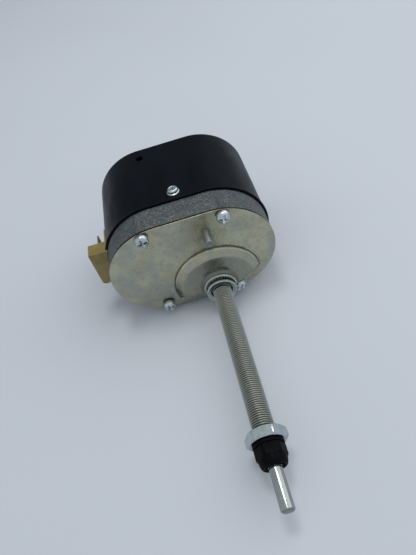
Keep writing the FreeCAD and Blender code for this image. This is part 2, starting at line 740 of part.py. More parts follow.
# Spindle: tube, bushes and what sits on the tube.
DOME_IN = DOME_TOP + d.sheet_thick
spindle_tube = turned("spindle_tube", [
    (d.tube_inner, d.tube_end), (d.tube_radius, d.tube_end), (d.tube_radius, d.nut_back),
    (d.tube_radius - d.relief, d.nut_back), (d.tube_radius - d.relief, d.nut_back + 0.8),
    (d.tube_radius, d.nut_back + 0.8), (d.tube_radius, d.ring_front),
    (d.tube_radius - d.relief, d.ring_front),
    (d.tube_radius - d.relief, d.ring_front + 0.9), (d.tube_radius, d.ring_front + 0.9),
    (d.tube_radius, DOME_IN),
    (d.tube_flange, DOME_IN), (d.tube_flange, DOME_IN + 1.0), (d.tube_inner, DOME_IN + 1.0)])
spindle_bush_rear = ring("spindle_bush_rear", d.tube_inner, d.bush_bore, -18.0, DOME_IN + 1.0)
spindle_bush_front = ring("spindle_bush_front", d.tube_inner, d.bush_bore, d.tube_end, -103.0)
plain_washer = ring("plain_washer", d.washer_radius, d.tube_radius, d.washer_front, d.collar_front)
front_ring = turned("front_ring", [
    (d.ring_bore, d.ring_front), (d.ring_radius - 0.5, d.ring_front), (d.ring_radius, d.ring_front + 0.5),
    (d.ring_radius, d.tooth_front), (d.ring_bore, d.tooth_front)])
nut_seal_ring = ring("nut_seal_ring", 8.3, d.tube_radius, d.cap_back, d.nut_front)


LOCK_TEETH = 32


def build_tooth_washer():
    body = ring("tooth_washer_ring", d.ring_radius + 0.3, d.tube_radius, d.tooth_front, d.washer_front)
    notches = []
    for i in range(LOCK_TEETH):
        turn = FreeCAD.Rotation(V(0, 1, 0), i * 360.0 / LOCK_TEETH)
        notch = doc.addObject("Part::Box", f"tooth_notch_{i + 1}")
        notch.Length, notch.Width, notch.Height = 2.4, 5.0, 0.9
        corner = turn.multVec(V(d.ring_radius.value - 1.0, 0, -0.45))
        put(notch, corner.x, d.tooth_front - 1.0, corner.z, turn)
        notches.append(notch)
    return cut("tooth_lock_washer", body, group("tooth_notches", *notches))


tooth_lock_washer = build_tooth_washer()


def build_nut():
    body = new_body("nut_body")
    flats = new_sketch(body, "nut_hexagon", "XZ_Plane", d.nut_front)
    corner = d.nut_flat / math.cos(math.pi / 6)
    turns = [math.radians(60 * i + 7) for i in range(6)]
    outline(flats, [(corner * math.cos(turn), corner * math.sin(turn)) for turn in turns])
    circle(flats, d.tube_radius)
    pad(body, flats, d.nut_back - d.nut_front, True)
    bevel = turned("nut_bevel", [
        (0, d.nut_front), (d.nut_flat - 0.1, d.nut_front), (d.nut_flat + 1.6, d.nut_front + 0.95),
        (d.nut_flat + 1.6, d.nut_back - 0.95), (d.nut_flat - 0.1, d.nut_back), (0, d.nut_back)])
    return common("spindle_nut", body, bevel)


spindle_nut = build_nut()


def build_cap():
    body = new_body("cap_body")
    flats = new_sketch(body, "cap_hexagon", "XZ_Plane", d.cap_front)
    corner = d.cap_flat / math.cos(math.pi / 6)
    turns = [math.radians(60 * i + 53) for i in range(6)]
    outline(flats, [(corner * math.cos(turn), corner * math.sin(turn)) for turn in turns])
    pad(body, flats, d.cap_back - d.cap_front, True)
    form = turned("cap_form", [
        (d.shaft_radius + 0.05, d.cap_front + 1.5), (5.2, d.cap_front + 1.5), (5.2, d.cap_front),
        (6.3, d.cap_front), (7.2, d.cap_front + 2.1), (7.45, d.cap_front + 4.1),
        (d.cap_radius, d.cap_front + 4.7), (d.cap_radius, d.cap_back), (d.tube_radius, d.cap_back),
        (d.tube_radius, d.tube_end), (5.8, d.tube_end),
        (5.8, d.tube_end - 1.9), (d.shaft_radius + 0.05, d.tube_end - 1.9)])
    return common("seal_cap", body, form)


seal_cap = build_cap()

# Output shaft with its rocker.
output_shaft = turned("output_shaft", [
    (0, d.shaft_end), (d.shaft_radius - 0.6, d.shaft_end), (d.shaft_radius, d.shaft_end + 0.6),
    (d.shaft_radius, d.shaft_groove), (d.shaft_radius - 0.25, d.shaft_groove),
    (d.shaft_radius - 0.25, d.shaft_groove + 0.9), (d.shaft_radius, d.shaft_groove + 0.9),
    (d.shaft_radius, d.rocker_back), (0, d.rocker_back)])
thrust_washer = ring("thrust_washer", 7.0, d.shaft_radius, d.rocker_front - 0.5, d.rocker_front)
shaft_clip = ring("shaft_clip", 5.4, d.shaft_radius, d.tube_end - 0.9, d.tube_end - 0.15)


def turn_in_plane(degrees):
    """A rotation about Y that turns X towards Z by this angle."""
    return FreeCAD.Rotation(V(0, 1, 0), -degrees)


def lever_outline(sketch, hub, eye, span):
    """Two round ends joined by tangent lines, the hub at the sketch's origin."""
    hub, eye, span = size(hub), size(eye), size(span)
    lean = math.acos((hub.value - eye.value) / span.value)
    c, s = math.cos(lean), math.sin(lean)
    far = Part.ArcOfCircle(Part.Circle(V(span.value, 0, 0), V(0, 0, 1), eye.value), -lean, lean)
    near = Part.ArcOfCircle(Part.Circle(V(0, 0, 0), V(0, 0, 1), hub.value), lean, 2 * math.pi - lean)
    top = Part.LineSegment(V(span.value + eye.value * c, eye.value * s, 0), V(hub.value * c, hub.value * s, 0))
    low = Part.LineSegment(V(hub.value * c, -hub.value * s, 0), V(span.value + eye.value * c, -eye.value * s, 0))
    sketch.addGeometry([far, top, near, low], False)
    sketch.addConstraint([Sketcher.Constraint("Tangent", i, 2, (i + 1) % 4, 1) for i in range(4)])
    pin_point(sketch, 0, 3, span, 0)
    pin_point(sketch, 2, 3, 0, 0)
    for index, radius in ((0, eye), (2, hub)):
        held = sketch.addConstraint(Sketcher.Constraint("Radius", index, radius.value))
        if "Dims" in radius.text:
            bind(sketch, f"Constraints[{held}]", radius)


def lever(name, hub, eye, span, front, back, hub_bore, eye_bore, x, z, degrees):
    body = new_body(name)
    put(body, x, 0, z, turn_in_plane(degrees))
    shape = new_sketch(body, f"{name}_outline", "XZ_Plane", front)
    lever_outline(shape, hub, eye, span)
    pad(body, shape, size(back) - front, True)
    holes = new_sketch(body, f"{name}_holes", "XZ_Plane", front)
    circle(holes, hub_bore)
    circle(holes, eye_bore, span, 0)
    pocket(body, holes, size(back) - front)
    return body


rocker_lever = lever("rocker_lever", 6.2, 4.4, d.rocker_arm, d.rocker_front, d.rocker_back,
                     d.shaft_radius, d.link_pin, 0, 0, rest_turn)
rocker_pin = turned("rocker_pin", [
    (0, d.rocker_front - 0.8), (3.4, d.rocker_front - 0.8), (3.4, d.rocker_front), (d.link_pin, d.rocker_front),
    (d.link_pin, d.rod_back + 0.05), (3.4, d.rod_back + 0.05), (3.4, d.rod_back + 0.35), (0, d.rod_back + 0.35)],
    d.rocker_pin_x, d.rocker_pin_z)
link_spacer = ring("link_spacer", 4.2, d.link_pin, d.rocker_back, d.rod_front - 0.05,
                   d.rocker_pin_x, d.rocker_pin_z)
connecting_rod = lever("connecting_rod", 5.2, 5.2, d.rod_span, d.rod_front, d.rod_back,
                       d.link_pin, d.link_pin + d.play, d.crank_pin_x, d.crank_pin_z, rod_turn)
crank_pin = turned("crank_pin", [
    (0, d.rod_front - 0.2), (3.3, d.rod_front - 0.2), (3.3, d.rod_front), (d.link_pin, d.rod_front),
    (d.link_pin, d.rod_back + 0.3), (0, d.rod_back + 0.3)], d.crank_pin_x, d.crank_pin_z)


# Gears.

def involute(angle):
    return math.tan(angle) - angle


def tooth_flank(base, low, high, half_at_base, side, turn):
    """Points up one flank, from radius low to radius high."""
    points = []
    for i in range(6):
        radius = low + (high - low) * i / 5
        lean = half_at_base - involute(math.acos(min(1.0, base / radius)))
        angle = turn + side * lean
        points.append(V(radius * math.cos(angle), radius * math.sin(angle), 0))
    return points


def arc_edge(radius, start, end):
    middle = (start + end) / 2
    points = [V(radius * math.cos(a), radius * math.sin(a), 0) for a in (start, middle, end)]
    return Part.Arc(*points).toShape()


def gear_outline(module, teeth, shift_half_pitch):
    """The outline of a spur gear with thinned teeth."""
    pitch = module.value * teeth / 2
    base = pitch * math.cos(PRESSURE_ANGLE)
    tip, root = pitch + module.value, pitch - 1.25 * module.value
    step = 2 * math.pi / teeth
    half = step / 4 - d.backlash.value / pitch + involute(PRESSURE_ANGLE)
    low = max(base, root)
    foot = half - involute(math.acos(min(1.0, base / low)))
    crown = half - involute(math.acos(base / tip))
    edges = []
    for i in range(teeth):
        turn = step * (i + (0.5 if shift_half_pitch else 0.0))
        rise = tooth_flank(base, low, tip, half, -1, turn)
        fall = tooth_flank(base, low, tip, half, 1, turn)
        if root < low - 1e-6:
            start = V(root * math.cos(turn - foot), root * math.sin(turn - foot), 0)
            end = V(root * math.cos(turn + foot), root * math.sin(turn + foot), 0)
            edges.append(Part.LineSegment(start, rise[0]).toShape())
        for points, backwards in ((rise, False), (fall, True)):
            if backwards:
                edges.append(arc_edge(tip, turn - crown, turn + crown))
                points = points[::-1]
            curve = Part.BSplineCurve()
            curve.interpolate(points)
            edges.append(curve.toShape())
        if root < low - 1e-6:
            edges.append(Part.LineSegment(fall[0], end).toShape())
        edges.append(arc_edge(root, turn + foot, turn + step - foot))
    return Part.Wire(edges)


def gear_blank(name, module, teeth, front, back, x, shift_half_pitch):
    """A toothed disc along Y. Its teeth come from the sheet's module and backlash."""
    obj = doc.addObject("Part::Feature", name)
    face = Part.Face(gear_outline(module, teeth, shift_half_pitch))
    obj.Shape = face.extrude(V(0, 0, size(back).value - size(front).value))
    return put(obj, x, front, MID_Z, ALONG_Y)


def build_crank_wheel():
    x, front, back = d.crank_x, d.crank_web_front, d.crank_web_back
    teeth = gear_blank("crank_teeth", d.coarse_module, CRANK_TEETH, front, back, x, True)
    pin_boss = cylinder("crank_pin_boss", 4.2, d.rod_back + 0.45, back - 0.5, d.crank_pin_x, d.crank_pin_z)
    rim_back = cylinder("crank_rim_room", 22.6, back - 1.2, back + 1, x, MID_Z)
    land = cylinder("crank_disc_land", 19.6, front + 1, back, x, MID_Z)
    rim_front = cut("crank_front_room", cylinder("crank_front_recess", 22.6, front - 1, front + 1.0, x, MID_Z),
                    cylinder("crank_hub_keep", 6.5, front - 2, back, x, MID_Z))
    bore = cylinder("crank_bore", d.crank_axle + d.play, front - 1, back + 4, x, MID_Z)
    dished = cut("crank_dished", teeth, rim_back, rim_front)
    return cut("crank_wheel", fuse("crank_solid", dished, land, pin_boss), bore)


crank_wheel = build_crank_wheel()


def build_park_disc():
    plain = cylinder("park_plain", 19.0, d.crank_web_back, d.crank_web_back + 0.3, d.crank_x, MID_Z)
    hole = cylinder("park_hole", 9.0, d.crank_web_back - 1, d.crank_web_back + 1, d.crank_x, MID_Z)
    gap = box("park_gap", d.crank_x + 12.5, d.crank_x + 20, d.crank_web_back - 1, d.crank_web_back + 1,
              MID_Z - 6, MID_Z + 6)
    return cut("park_disc", plain, hole, gap)


park_disc = build_park_disc()
crank_axle = turned("crank_axle", [
    (0, 5.1), (d.crank_axle - 0.3, 5.1), (d.crank_axle, 5.3), (d.crank_axle, d.floor_front),
    (0, d.floor_front)], d.crank_x, MID_Z)
crank_clip = ring("crank_clip", 4.9, d.crank_axle, 5.15, 5.5, d.crank_x, MID_Z)


def build_intermediate():
    x, front = d.middle_x, d.crank_web_front - 0.1
    pinion = gear_blank("intermediate_pinion_teeth", d.coarse_module, SECOND_PINION_TEETH,
                        front, d.middle_wheel_front + 1, x, False)
    wheel = gear_blank("intermediate_wheel_teeth", d.fine_module, FIRST_WHEEL_TEETH,
                       d.middle_wheel_front, d.middle_wheel_back, x, True)
    recess = cut("intermediate_recess",
                 cylinder("intermediate_room", 15.4, d.middle_wheel_back - 1.2, d.middle_wheel_back + 1, x, MID_Z),
                 cylinder("intermediate_hub", 4.2, d.middle_wheel_back - 2, d.middle_wheel_back + 2, x, MID_Z))
    bore = cylinder("intermediate_bore", d.middle_axle + d.play, front - 1, d.middle_wheel_back + 1, x, MID_Z)
    return cut("intermediate_gear", fuse("intermediate_solid", pinion, wheel), recess, bore)


intermediate_gear = build_intermediate()
intermediate_axle = turned("intermediate_axle", [
    (0, 5.0), (d.middle_axle - 0.3, 5.0), (d.middle_axle, 5.2), (d.middle_axle, d.floor_back),
    (0, d.floor_back)], d.middle_x, MID_Z)
intermediate_clip = ring("intermediate_clip", 3.5, d.middle_axle, 5.05, 5.4, d.middle_x, MID_Z)

# Armature.
armature_pinion = cut(
    "armature_pinion",
    gear_blank("armature_pinion_teeth", d.fine_module, ARMATURE_TEETH, 11.0, 15.2, d.armature_x, False),
    cylinder("armature_pinion_bore", d.pinion_seat, 10, 16, d.armature_x, MID_Z))
armature_shaft = turned("armature_shaft", [
    (0, 10.8), (d.pinion_seat, 10.8), (d.pinion_seat, 15.2), (d.armature_shaft, 15.2),
    (d.armature_shaft, 73.4), (0, 73.4)], d.armature_x, MID_Z)
commutator = ring("commutator", d.commutator_radius, d.armature_shaft, 22.6, 31.0, d.armature_x, MID_Z)


def build_core():
    body = new_body("armature_core", d.armature_x, MID_Z)
    round_face = new_sketch(body, "core_outline", "XZ_Plane", d.core_front)
    circle(round_face, d.core_radius)
    circle(round_face, d.armature_shaft)
    pad(body, round_face, d.core_back - d.core_front, True)
    slot = new_sketch(body, "core_slot", "XZ_Plane", d.core_front)
    outline(slot, [(11.0, -1.6), (19.6, -2.9), (19.6, -0.9), (23.0, -0.9),
                   (23.0, 0.9), (19.6, 0.9), (19.6, 2.9), (11.0, 1.6)])
    one = pocket(body, slot, d.core_back - d.core_front)
    pattern = body.newObject("PartDesign::PolarPattern", "core_slots")
    pattern.Originals = [one]
    pattern.Axis = (round_face, ["N_Axis"])
    pattern.Angle = 360
    pattern.Occurrences = 12
    body.Tip = pattern
    doc.recompute()
    return body


armature_core = build_core()


def build_windings():
    front = turned("winding_front", [
        (d.armature_shaft, 33.6), (9.0, 31.6), (15.5, 31.6), (18.6, 33.4), (19.4, d.core_front),
        (d.armature_shaft, d.core_front)], d.armature_x, MID_Z)
    back = turned("winding_back", [
        (d.armature_shaft, d.core_back), (19.4, d.core_back), (18.6, 64.6), (15.5, 66.4), (9.0, 66.4),
        (d.armature_shaft, 64.4)], d.armature_x, MID_Z)
    return group("armature_windings", front, back)


armature_windings = build_windings()


# Motor frame.

def build_can():
    shell = turned("can_shell", [
        (d.can_inner, d.can_front), (d.can_radius, d.can_front), (d.can_radius, d.can_back),
        (7.6, d.can_back), (7.6, 75.6), (0, 75.6), (0, 74.2), (6.0, 74.2), (6.0, d.can_back - 1.6),
        (d.can_inner, d.can_back - 1.6)], d.armature_x, MID_Z)
    notch = box("can_notch", d.armature_x - 32, d.armature_x - 26, 18, 25, MID_Z - 10, MID_Z + 10)
    return cut("motor_can", shell, notch)


motor_can = build_can()
front_bearing = ring("front_bearing", 6.5, d.armature_shaft + d.play, 16.4, 21.4, d.armature_x, MID_Z)
rear_bearing = ring("rear_bearing", 6.0, d.armature_shaft + d.play, 69.2, 73.8, d.armature_x, MID_Z)


def build_magnets():
    full = ring("magnet_ring", d.can_inner, d.magnet_inner, 31.0, 66.0, d.armature_x, MID_Z)
    window = box("magnet_gap", d.armature_x - 40, d.armature_x + 40, 30, 67, MID_Z - 9, MID_Z + 9)
    return cut("magnets", full, window)


magnets = build_magnets()


def build_brush_plate():
    body = new_body("brush_plate", d.armature_x, MID_Z)
    face = new_sketch(body, "brush_plate_outline", "XZ_Plane", 22.3)
    circle(face, d.can_inner)
    circle(face, d.commutator_radius + 1.5)
    pad(body, face, size(1.9), True)
    return body


brush_plate = build_brush_plate()
AX = d.armature_x


def build_brushes():
    wear = cylinder("brush_wear", d.commutator_radius + 0.06, 20, 35, AX, MID_Z)
    right = cut("brush_right", box("brush_blank", AX + 5, AX + 15.5, 25.0, 29.6, MID_Z - 2.6, MID_Z + 2.6), wear)
    return group("brushes", right, mirror("brush_left", right, V(1, 0, 0), AX, 0))


brushes = build_brushes()


def build_brush_boxes():
    outer = box("brush_box_outer", AX + 9.6, AX + 22.0, 24.2, 30.4, MID_Z - 3.4, MID_Z + 3.4)
    inner = box("brush_box_inner", AX + 9, AX + 21.4, 25.0, 29.6, MID_Z - 2.6, MID_Z + 2.6)
    right = cut("brush_box_right", outer, inner)
    return group("brush_boxes", right, mirror("brush_box_left", right, V(1, 0, 0), AX, 0))


brush_boxes = build_brush_boxes()


def coil_spring(name, coil, wire, pitch, length, x, y, z):
    """A helical spring along +X from (x, y, z)."""
    path = Part.makeHelix(pitch, length - 2 * wire, coil)
    start = V(coil, 0, 0)
    section = Part.Wire([Part.Circle(start, V(0, 1, pitch / (2 * math.pi * coil)), wire).toShape()])
    obj = doc.addObject("Part::Feature", name)
    obj.Shape = Part.Wire(path).makePipeShell([section], True, True)
    return put(obj, x + wire * 1.1, y, z, ALONG_X)


spring_right = coil_spring("brush_spring_right", 1.7, 0.45, 1.5, 5.8, AX + 15.5, 27.3, MID_Z)
brush_springs = group("brush_springs", spring_right,
                      mirror("brush_spring_left", spring_right, V(1, 0, 0), AX, 0))


def build_leads():
    """Insulated wires from the solder tags to the brush plate, inside the cover."""
    wires = []
    for i, (middle, low) in enumerate(BLADES):
        z = low + 1.2
        points = [V(-57.4, 34.2, z), V(-53.0, 34.2, z), V(-48.5, 29.0, z), V(-46.0, 23.4, z), V(-41.4, 22.9, z)]
        curve = Part.BSplineCurve()
        curve.interpolate(points)
        section = Part.Wire([Part.Circle(points[0], curve.tangent(0)[0], 0.9).toShape()])
        obj = doc.addObject("Part::Feature", f"lead_{i + 1}")
        obj.Shape = Part.Wire([curve.toShape()]).makePipeShell([section], True, True)
        wires.append(put(obj))
    return group("leads", *wires)


leads = build_leads()


# Park switch: three leaf springs that ride on the disc at the back of the crank wheel.

def build_park_switch():
    holder = box("contact_holder", -47.0, -41.5, 13.4, d.floor_front, MID_Z - 9, MID_Z + 9)
    leaves = []
    for i, low in enumerate((14.2, 19.7, 25.2)):
        body = new_body(f"park_leaf_{i + 1}")
        side = new_sketch(body, f"park_leaf_{i + 1}_side", "XY_Plane", low)
        tip = d.crank_web_back + 0.36
        outline(side, [(-46.0, 13.1), (-41.0, 13.1), (-36.4, tip), (-34.4, tip), (-33.2, tip + 0.8),
                       (-33.4, tip + 1.0), (-34.6, tip + 0.3), (-36.2, tip + 0.3), (-40.8, 13.4), (-46.0, 13.4)])
        pad(body, side, size(3.0))
        leaves.append(body)
    return holder, group("park_contacts", *leaves)


contact_holder, park_contacts = build_park_switch()

NODES = [
    front_plate, plate_gasket, gear_housing, motor_cover, terminal_block, terminals, plate_screws,
    screw_washers, cover_screws, index_peg, spindle_tube, spindle_bush_rear, spindle_bush_front, plain_washer,
    tooth_lock_washer, front_ring, spindle_nut, nut_seal_ring, seal_cap, output_shaft, thrust_washer,
    shaft_clip, rocker_lever, rocker_pin, link_spacer, connecting_rod, crank_pin, crank_wheel, park_disc,
    crank_axle, crank_clip, intermediate_gear, intermediate_axle, intermediate_clip, armature_pinion,
    armature_shaft, commutator, armature_core, armature_windings, motor_can, front_bearing, rear_bearing,
    magnets, brush_plate, brushes, brush_boxes, brush_springs, leads, contact_holder, park_contacts,
]

doc.recompute()
for obj in doc.Objects:
    if "Invalid" in obj.State or "Error" in obj.State:
        raise ValueError(f"{obj.Name} is {obj.State}")
for obj in NODES:
    shape = obj.Shape
    if shape.isNull() or not shape.isValid() or not shape.Solids:
        raise ValueError(f"{obj.Label} has no valid solid")
    obj.Label = obj.Name
    shape.exportStep(f"parts/{obj.Label}.step")
    b = shape.BoundBox
    print(f"{obj.Label:20s} {len(shape.Solids):2d} {shape.Volume:9.1f} ", end="")
    print([round(v, 1) for v in (b.XMin, b.XMax, b.YMin, b.YMax, b.ZMin, b.ZMax)])
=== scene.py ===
import math

import bmesh
import bpy
from mathutils import Matrix, Vector, geometry, noise


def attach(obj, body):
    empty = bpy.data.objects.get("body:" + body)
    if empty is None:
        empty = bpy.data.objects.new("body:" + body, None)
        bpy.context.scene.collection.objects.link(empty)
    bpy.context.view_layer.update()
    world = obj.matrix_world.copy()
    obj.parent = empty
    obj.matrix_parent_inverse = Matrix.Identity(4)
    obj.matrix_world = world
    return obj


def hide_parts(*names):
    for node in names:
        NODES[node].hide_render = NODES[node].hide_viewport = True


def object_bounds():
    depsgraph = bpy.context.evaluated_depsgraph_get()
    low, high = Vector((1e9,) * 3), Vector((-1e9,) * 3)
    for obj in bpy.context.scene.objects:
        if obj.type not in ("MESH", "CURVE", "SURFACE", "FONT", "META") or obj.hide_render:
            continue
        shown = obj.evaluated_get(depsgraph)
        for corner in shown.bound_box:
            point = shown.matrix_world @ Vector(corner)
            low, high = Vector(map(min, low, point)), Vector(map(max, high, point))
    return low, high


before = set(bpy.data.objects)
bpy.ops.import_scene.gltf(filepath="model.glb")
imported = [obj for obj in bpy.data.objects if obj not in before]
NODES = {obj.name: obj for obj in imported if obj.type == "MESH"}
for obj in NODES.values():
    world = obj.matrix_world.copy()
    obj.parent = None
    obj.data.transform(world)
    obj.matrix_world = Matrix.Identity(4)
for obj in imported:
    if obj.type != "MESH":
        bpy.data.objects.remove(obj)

CAD_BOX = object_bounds()

# Sizes are in millimetres and angles in degrees. Y is counted from the front plate's outer face.
MM = 0.001
FACE = 11.7  # where the row frame puts that face
MID_X, MID_Z, HALF = -11.7, 21.2, 17.0  # the flat oval's middle and half its straight side
SMOOTH_ANGLE = 32
TUBE_R, SHAFT_R, SHAFT_END = 6.0, 3.5, -146.0


def place(x, y, z):
    """Plate coordinates in millimetres to the row frame in metres."""
    return (x * MM, (y + FACE) * MM, z * MM)


# ---------------------------------------------------------------- meshes

def make_object(name, verts, faces, angle=SMOOTH_ANGLE, move=None):
    """A mesh object from plate-coordinate vertices, with outward normals and smooth shading."""
    mesh = bpy.data.meshes.new(name)
    points = [move(*v) for v in verts] if move else verts
    mesh.from_pydata([place(*v) for v in points], [], faces)
    work = bmesh.new()
    work.from_mesh(mesh)
    bmesh.ops.remove_doubles(work, verts=work.verts, dist=2e-7)
    bmesh.ops.dissolve_degenerate(work, edges=work.edges, dist=1e-7)
    bmesh.ops.recalc_face_normals(work, faces=work.faces)
    work.to_mesh(mesh)
    work.free()
    shade(mesh, angle)
    obj = bpy.data.objects.new(name, mesh)
    bpy.context.scene.collection.objects.link(obj)
    return obj


def shade(mesh, angle):
    mesh.shade_smooth()
    mesh.set_sharp_from_angle(angle=math.radians(angle))


def fillet(before, corner, after, steps):
    """Points of an arc that rounds a corner. corner is (a, b, radius)."""
    c = Vector(corner[:2])
    u, w = Vector(before[:2]) - c, Vector(after[:2]) - c
    half = u.angle(w) / 2
    reach = min(corner[2] / math.tan(half), u.length * 0.49, w.length * 0.49)
    u.normalize()
    w.normalize()
    radius = reach * math.tan(half)
    centre = c + (u + w).normalized() * (radius / math.sin(half))
    start, end = c + u * reach - centre, c + w * reach - centre
    first = math.atan2(start.y, start.x)
    turn = math.remainder(math.atan2(end.y, end.x) - first, 2 * math.pi)
    angles = [first + turn * i / steps for i in range(steps + 1)]
    return [(centre.x + radius * math.cos(a), centre.y + radius * math.sin(a)) for a in angles]


def rounded(points, steps=5, loop=False):
    """An outline whose corners are rounded. Points are (a, b) or (a, b, radius)."""
    out = []
    last = len(points) - 1
    for i, point in enumerate(points):
        if len(point) < 3 or (not loop and i in (0, last)):
            out.append(tuple(point[:2]))
        else:
            out += fillet(points[i - 1], point, points[(i + 1) % len(points)], steps)
    return out


def strips(rows, closed_row=True, closed_column=False):
    """Quads between rows of equal length."""
    faces = []
    followers = rows[1:] + rows[:1] if closed_column else rows[1:]
    for a, b in zip(rows, followers):
        count = len(a)
        for i in range(count if closed_row else count - 1):
            j = (i + 1) % count
            faces.append([a[i], a[j], b[j], b[i]])
    return faces


def polar(name, profile_at, segments=96, x=0.0, z=0.0, closed=True, angle=SMOOTH_ANGLE, move=None):
    """A body around an axis along Y. profile_at(angle) gives its outline there as (radius, y) points."""
    verts, columns = [], []
    for i in range(segments):
        a = 2 * math.pi * i / segments
        start = len(verts)
        verts += [(x + r * math.cos(a), y, z + r * math.sin(a)) for r, y in profile_at(a)]
        columns.append(list(range(start, len(verts))))
    return make_object(name, verts, strips(columns, closed, True), angle, move)


def lathe(name, profile, segments=96, x=0.0, z=0.0, closed=False, angle=SMOOTH_ANGLE, move=None):
    return polar(name, lambda a: profile, segments, x, z, closed, angle, move)


def oval_stations(arc=40, flat=1):
    """Stations around the flat oval: (centre x, normal x, normal z)."""
    out = []
    for side in (1, -1):
        for i in range(arc + 1):
            a = -math.pi / 2 + math.pi * i / arc
            out.append((MID_X + side * HALF, side * math.cos(a), side * math.sin(a)))
        for i in range(1, flat):
            out.append((MID_X + side * HALF * (1 - 2 * i / flat), 0.0, side * 1.0))
    return out


def oval_sweep(name, profile, arc=40, flat=1, closed=True, angle=SMOOTH_ANGLE, ripple=None):
    """Sweeps an outline of (radius, y) points around the flat oval. Open outlines get flat caps."""
    verts, rows = [], []
    for radius, y in profile:
        start = len(verts)
        for cx, nx, nz in oval_stations(arc, flat):
            r = radius + (ripple(cx + nx * radius, y, nz * radius) if ripple else 0)
            verts.append((cx + nx * r, y, MID_Z + nz * r))
        rows.append(list(range(start, len(verts))))
    faces = strips(rows, True, closed)
    if not closed:
        faces += [rows[0], rows[-1]]
    return make_object(name, verts, faces, angle)


def prism(name, outline_a, y_a, outline_b, y_b, angle=SMOOTH_ANGLE, move=None):
    """A body between two outlines of equal length, in planes across Y."""
    count = len(outline_a)
    verts = [(x, y_a, z) for x, z in outline_a] + [(x, y_b, z) for x, z in outline_b]
    near, far = list(range(count)), list(range(count, 2 * count))
    return make_object(name, verts, strips([near, far]) + [near, far], angle, move)


def combine(obj, other, operation="DIFFERENCE", angle=SMOOTH_ANGLE):
    """Cuts other out of obj, or joins it, and removes other."""
    modifier = obj.modifiers.new("combine", "BOOLEAN")
    modifier.object = other
    modifier.solver = "EXACT"
    modifier.operation = operation
    graph = bpy.context.evaluated_depsgraph_get()
    mesh = bpy.data.meshes.new_from_object(obj.evaluated_get(graph))
    obj.modifiers.clear()
    old = obj.data
    obj.data = mesh
    bpy.data.meshes.remove(old)
    used = other.data
    bpy.data.objects.remove(other)
    bpy.data.meshes.remove(used)
    shade(mesh, angle)
    return obj


def soften(obj, width_mm, segments=3, angle=35):
    """A rounded edge wherever two faces meet sharply."""
    bevel = obj.modifiers.new("soften", "BEVEL")
    bevel.width = width_mm * MM
    bevel.segments = segments
    bevel.limit_method = "ANGLE"
    bevel.angle_limit = math.radians(angle)
    bevel.use_clamp_overlap = True
    return obj


def merge(name, objects):
    """Joins objects into one piece."""
    work = bmesh.new()
    for obj in objects:
        work.from_mesh(obj.data)
    mesh = bpy.data.meshes.new(name)
    work.to_mesh(mesh)
    work.free()
    shade(mesh, SMOOTH_ANGLE)
    for obj in objects:
        used = obj.data
        bpy.data.objects.remove(obj)
        bpy.data.meshes.remove(used)
    joined = bpy.data.objects.new(name, mesh)
    bpy.context.scene.collection.objects.link(joined)
    return joined


def piece(obj, material, body, slot, *nodes):
    """Dresses a piece, lets it ride on a body and, where it stands for CAD nodes, hides those."""
    dress(obj, material)
    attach(obj, body)
    if nodes:
        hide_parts(*nodes)
    return obj


def lumps(x, y, z, size):
    """Smooth noise from -1 to 1, for uneven surfaces."""
    return noise.noise(Vector((x / size, y / size, z / size)))


def hex_radius(a, flat, corner_at):
    """Distance from a hexagon's centre to its side. flat is half the width across flats."""
    turn = (a - math.radians(corner_at)) % (math.pi / 3)
    return flat / math.cos(turn - math.pi / 6)


# ---------------------------------------------------------------- materials

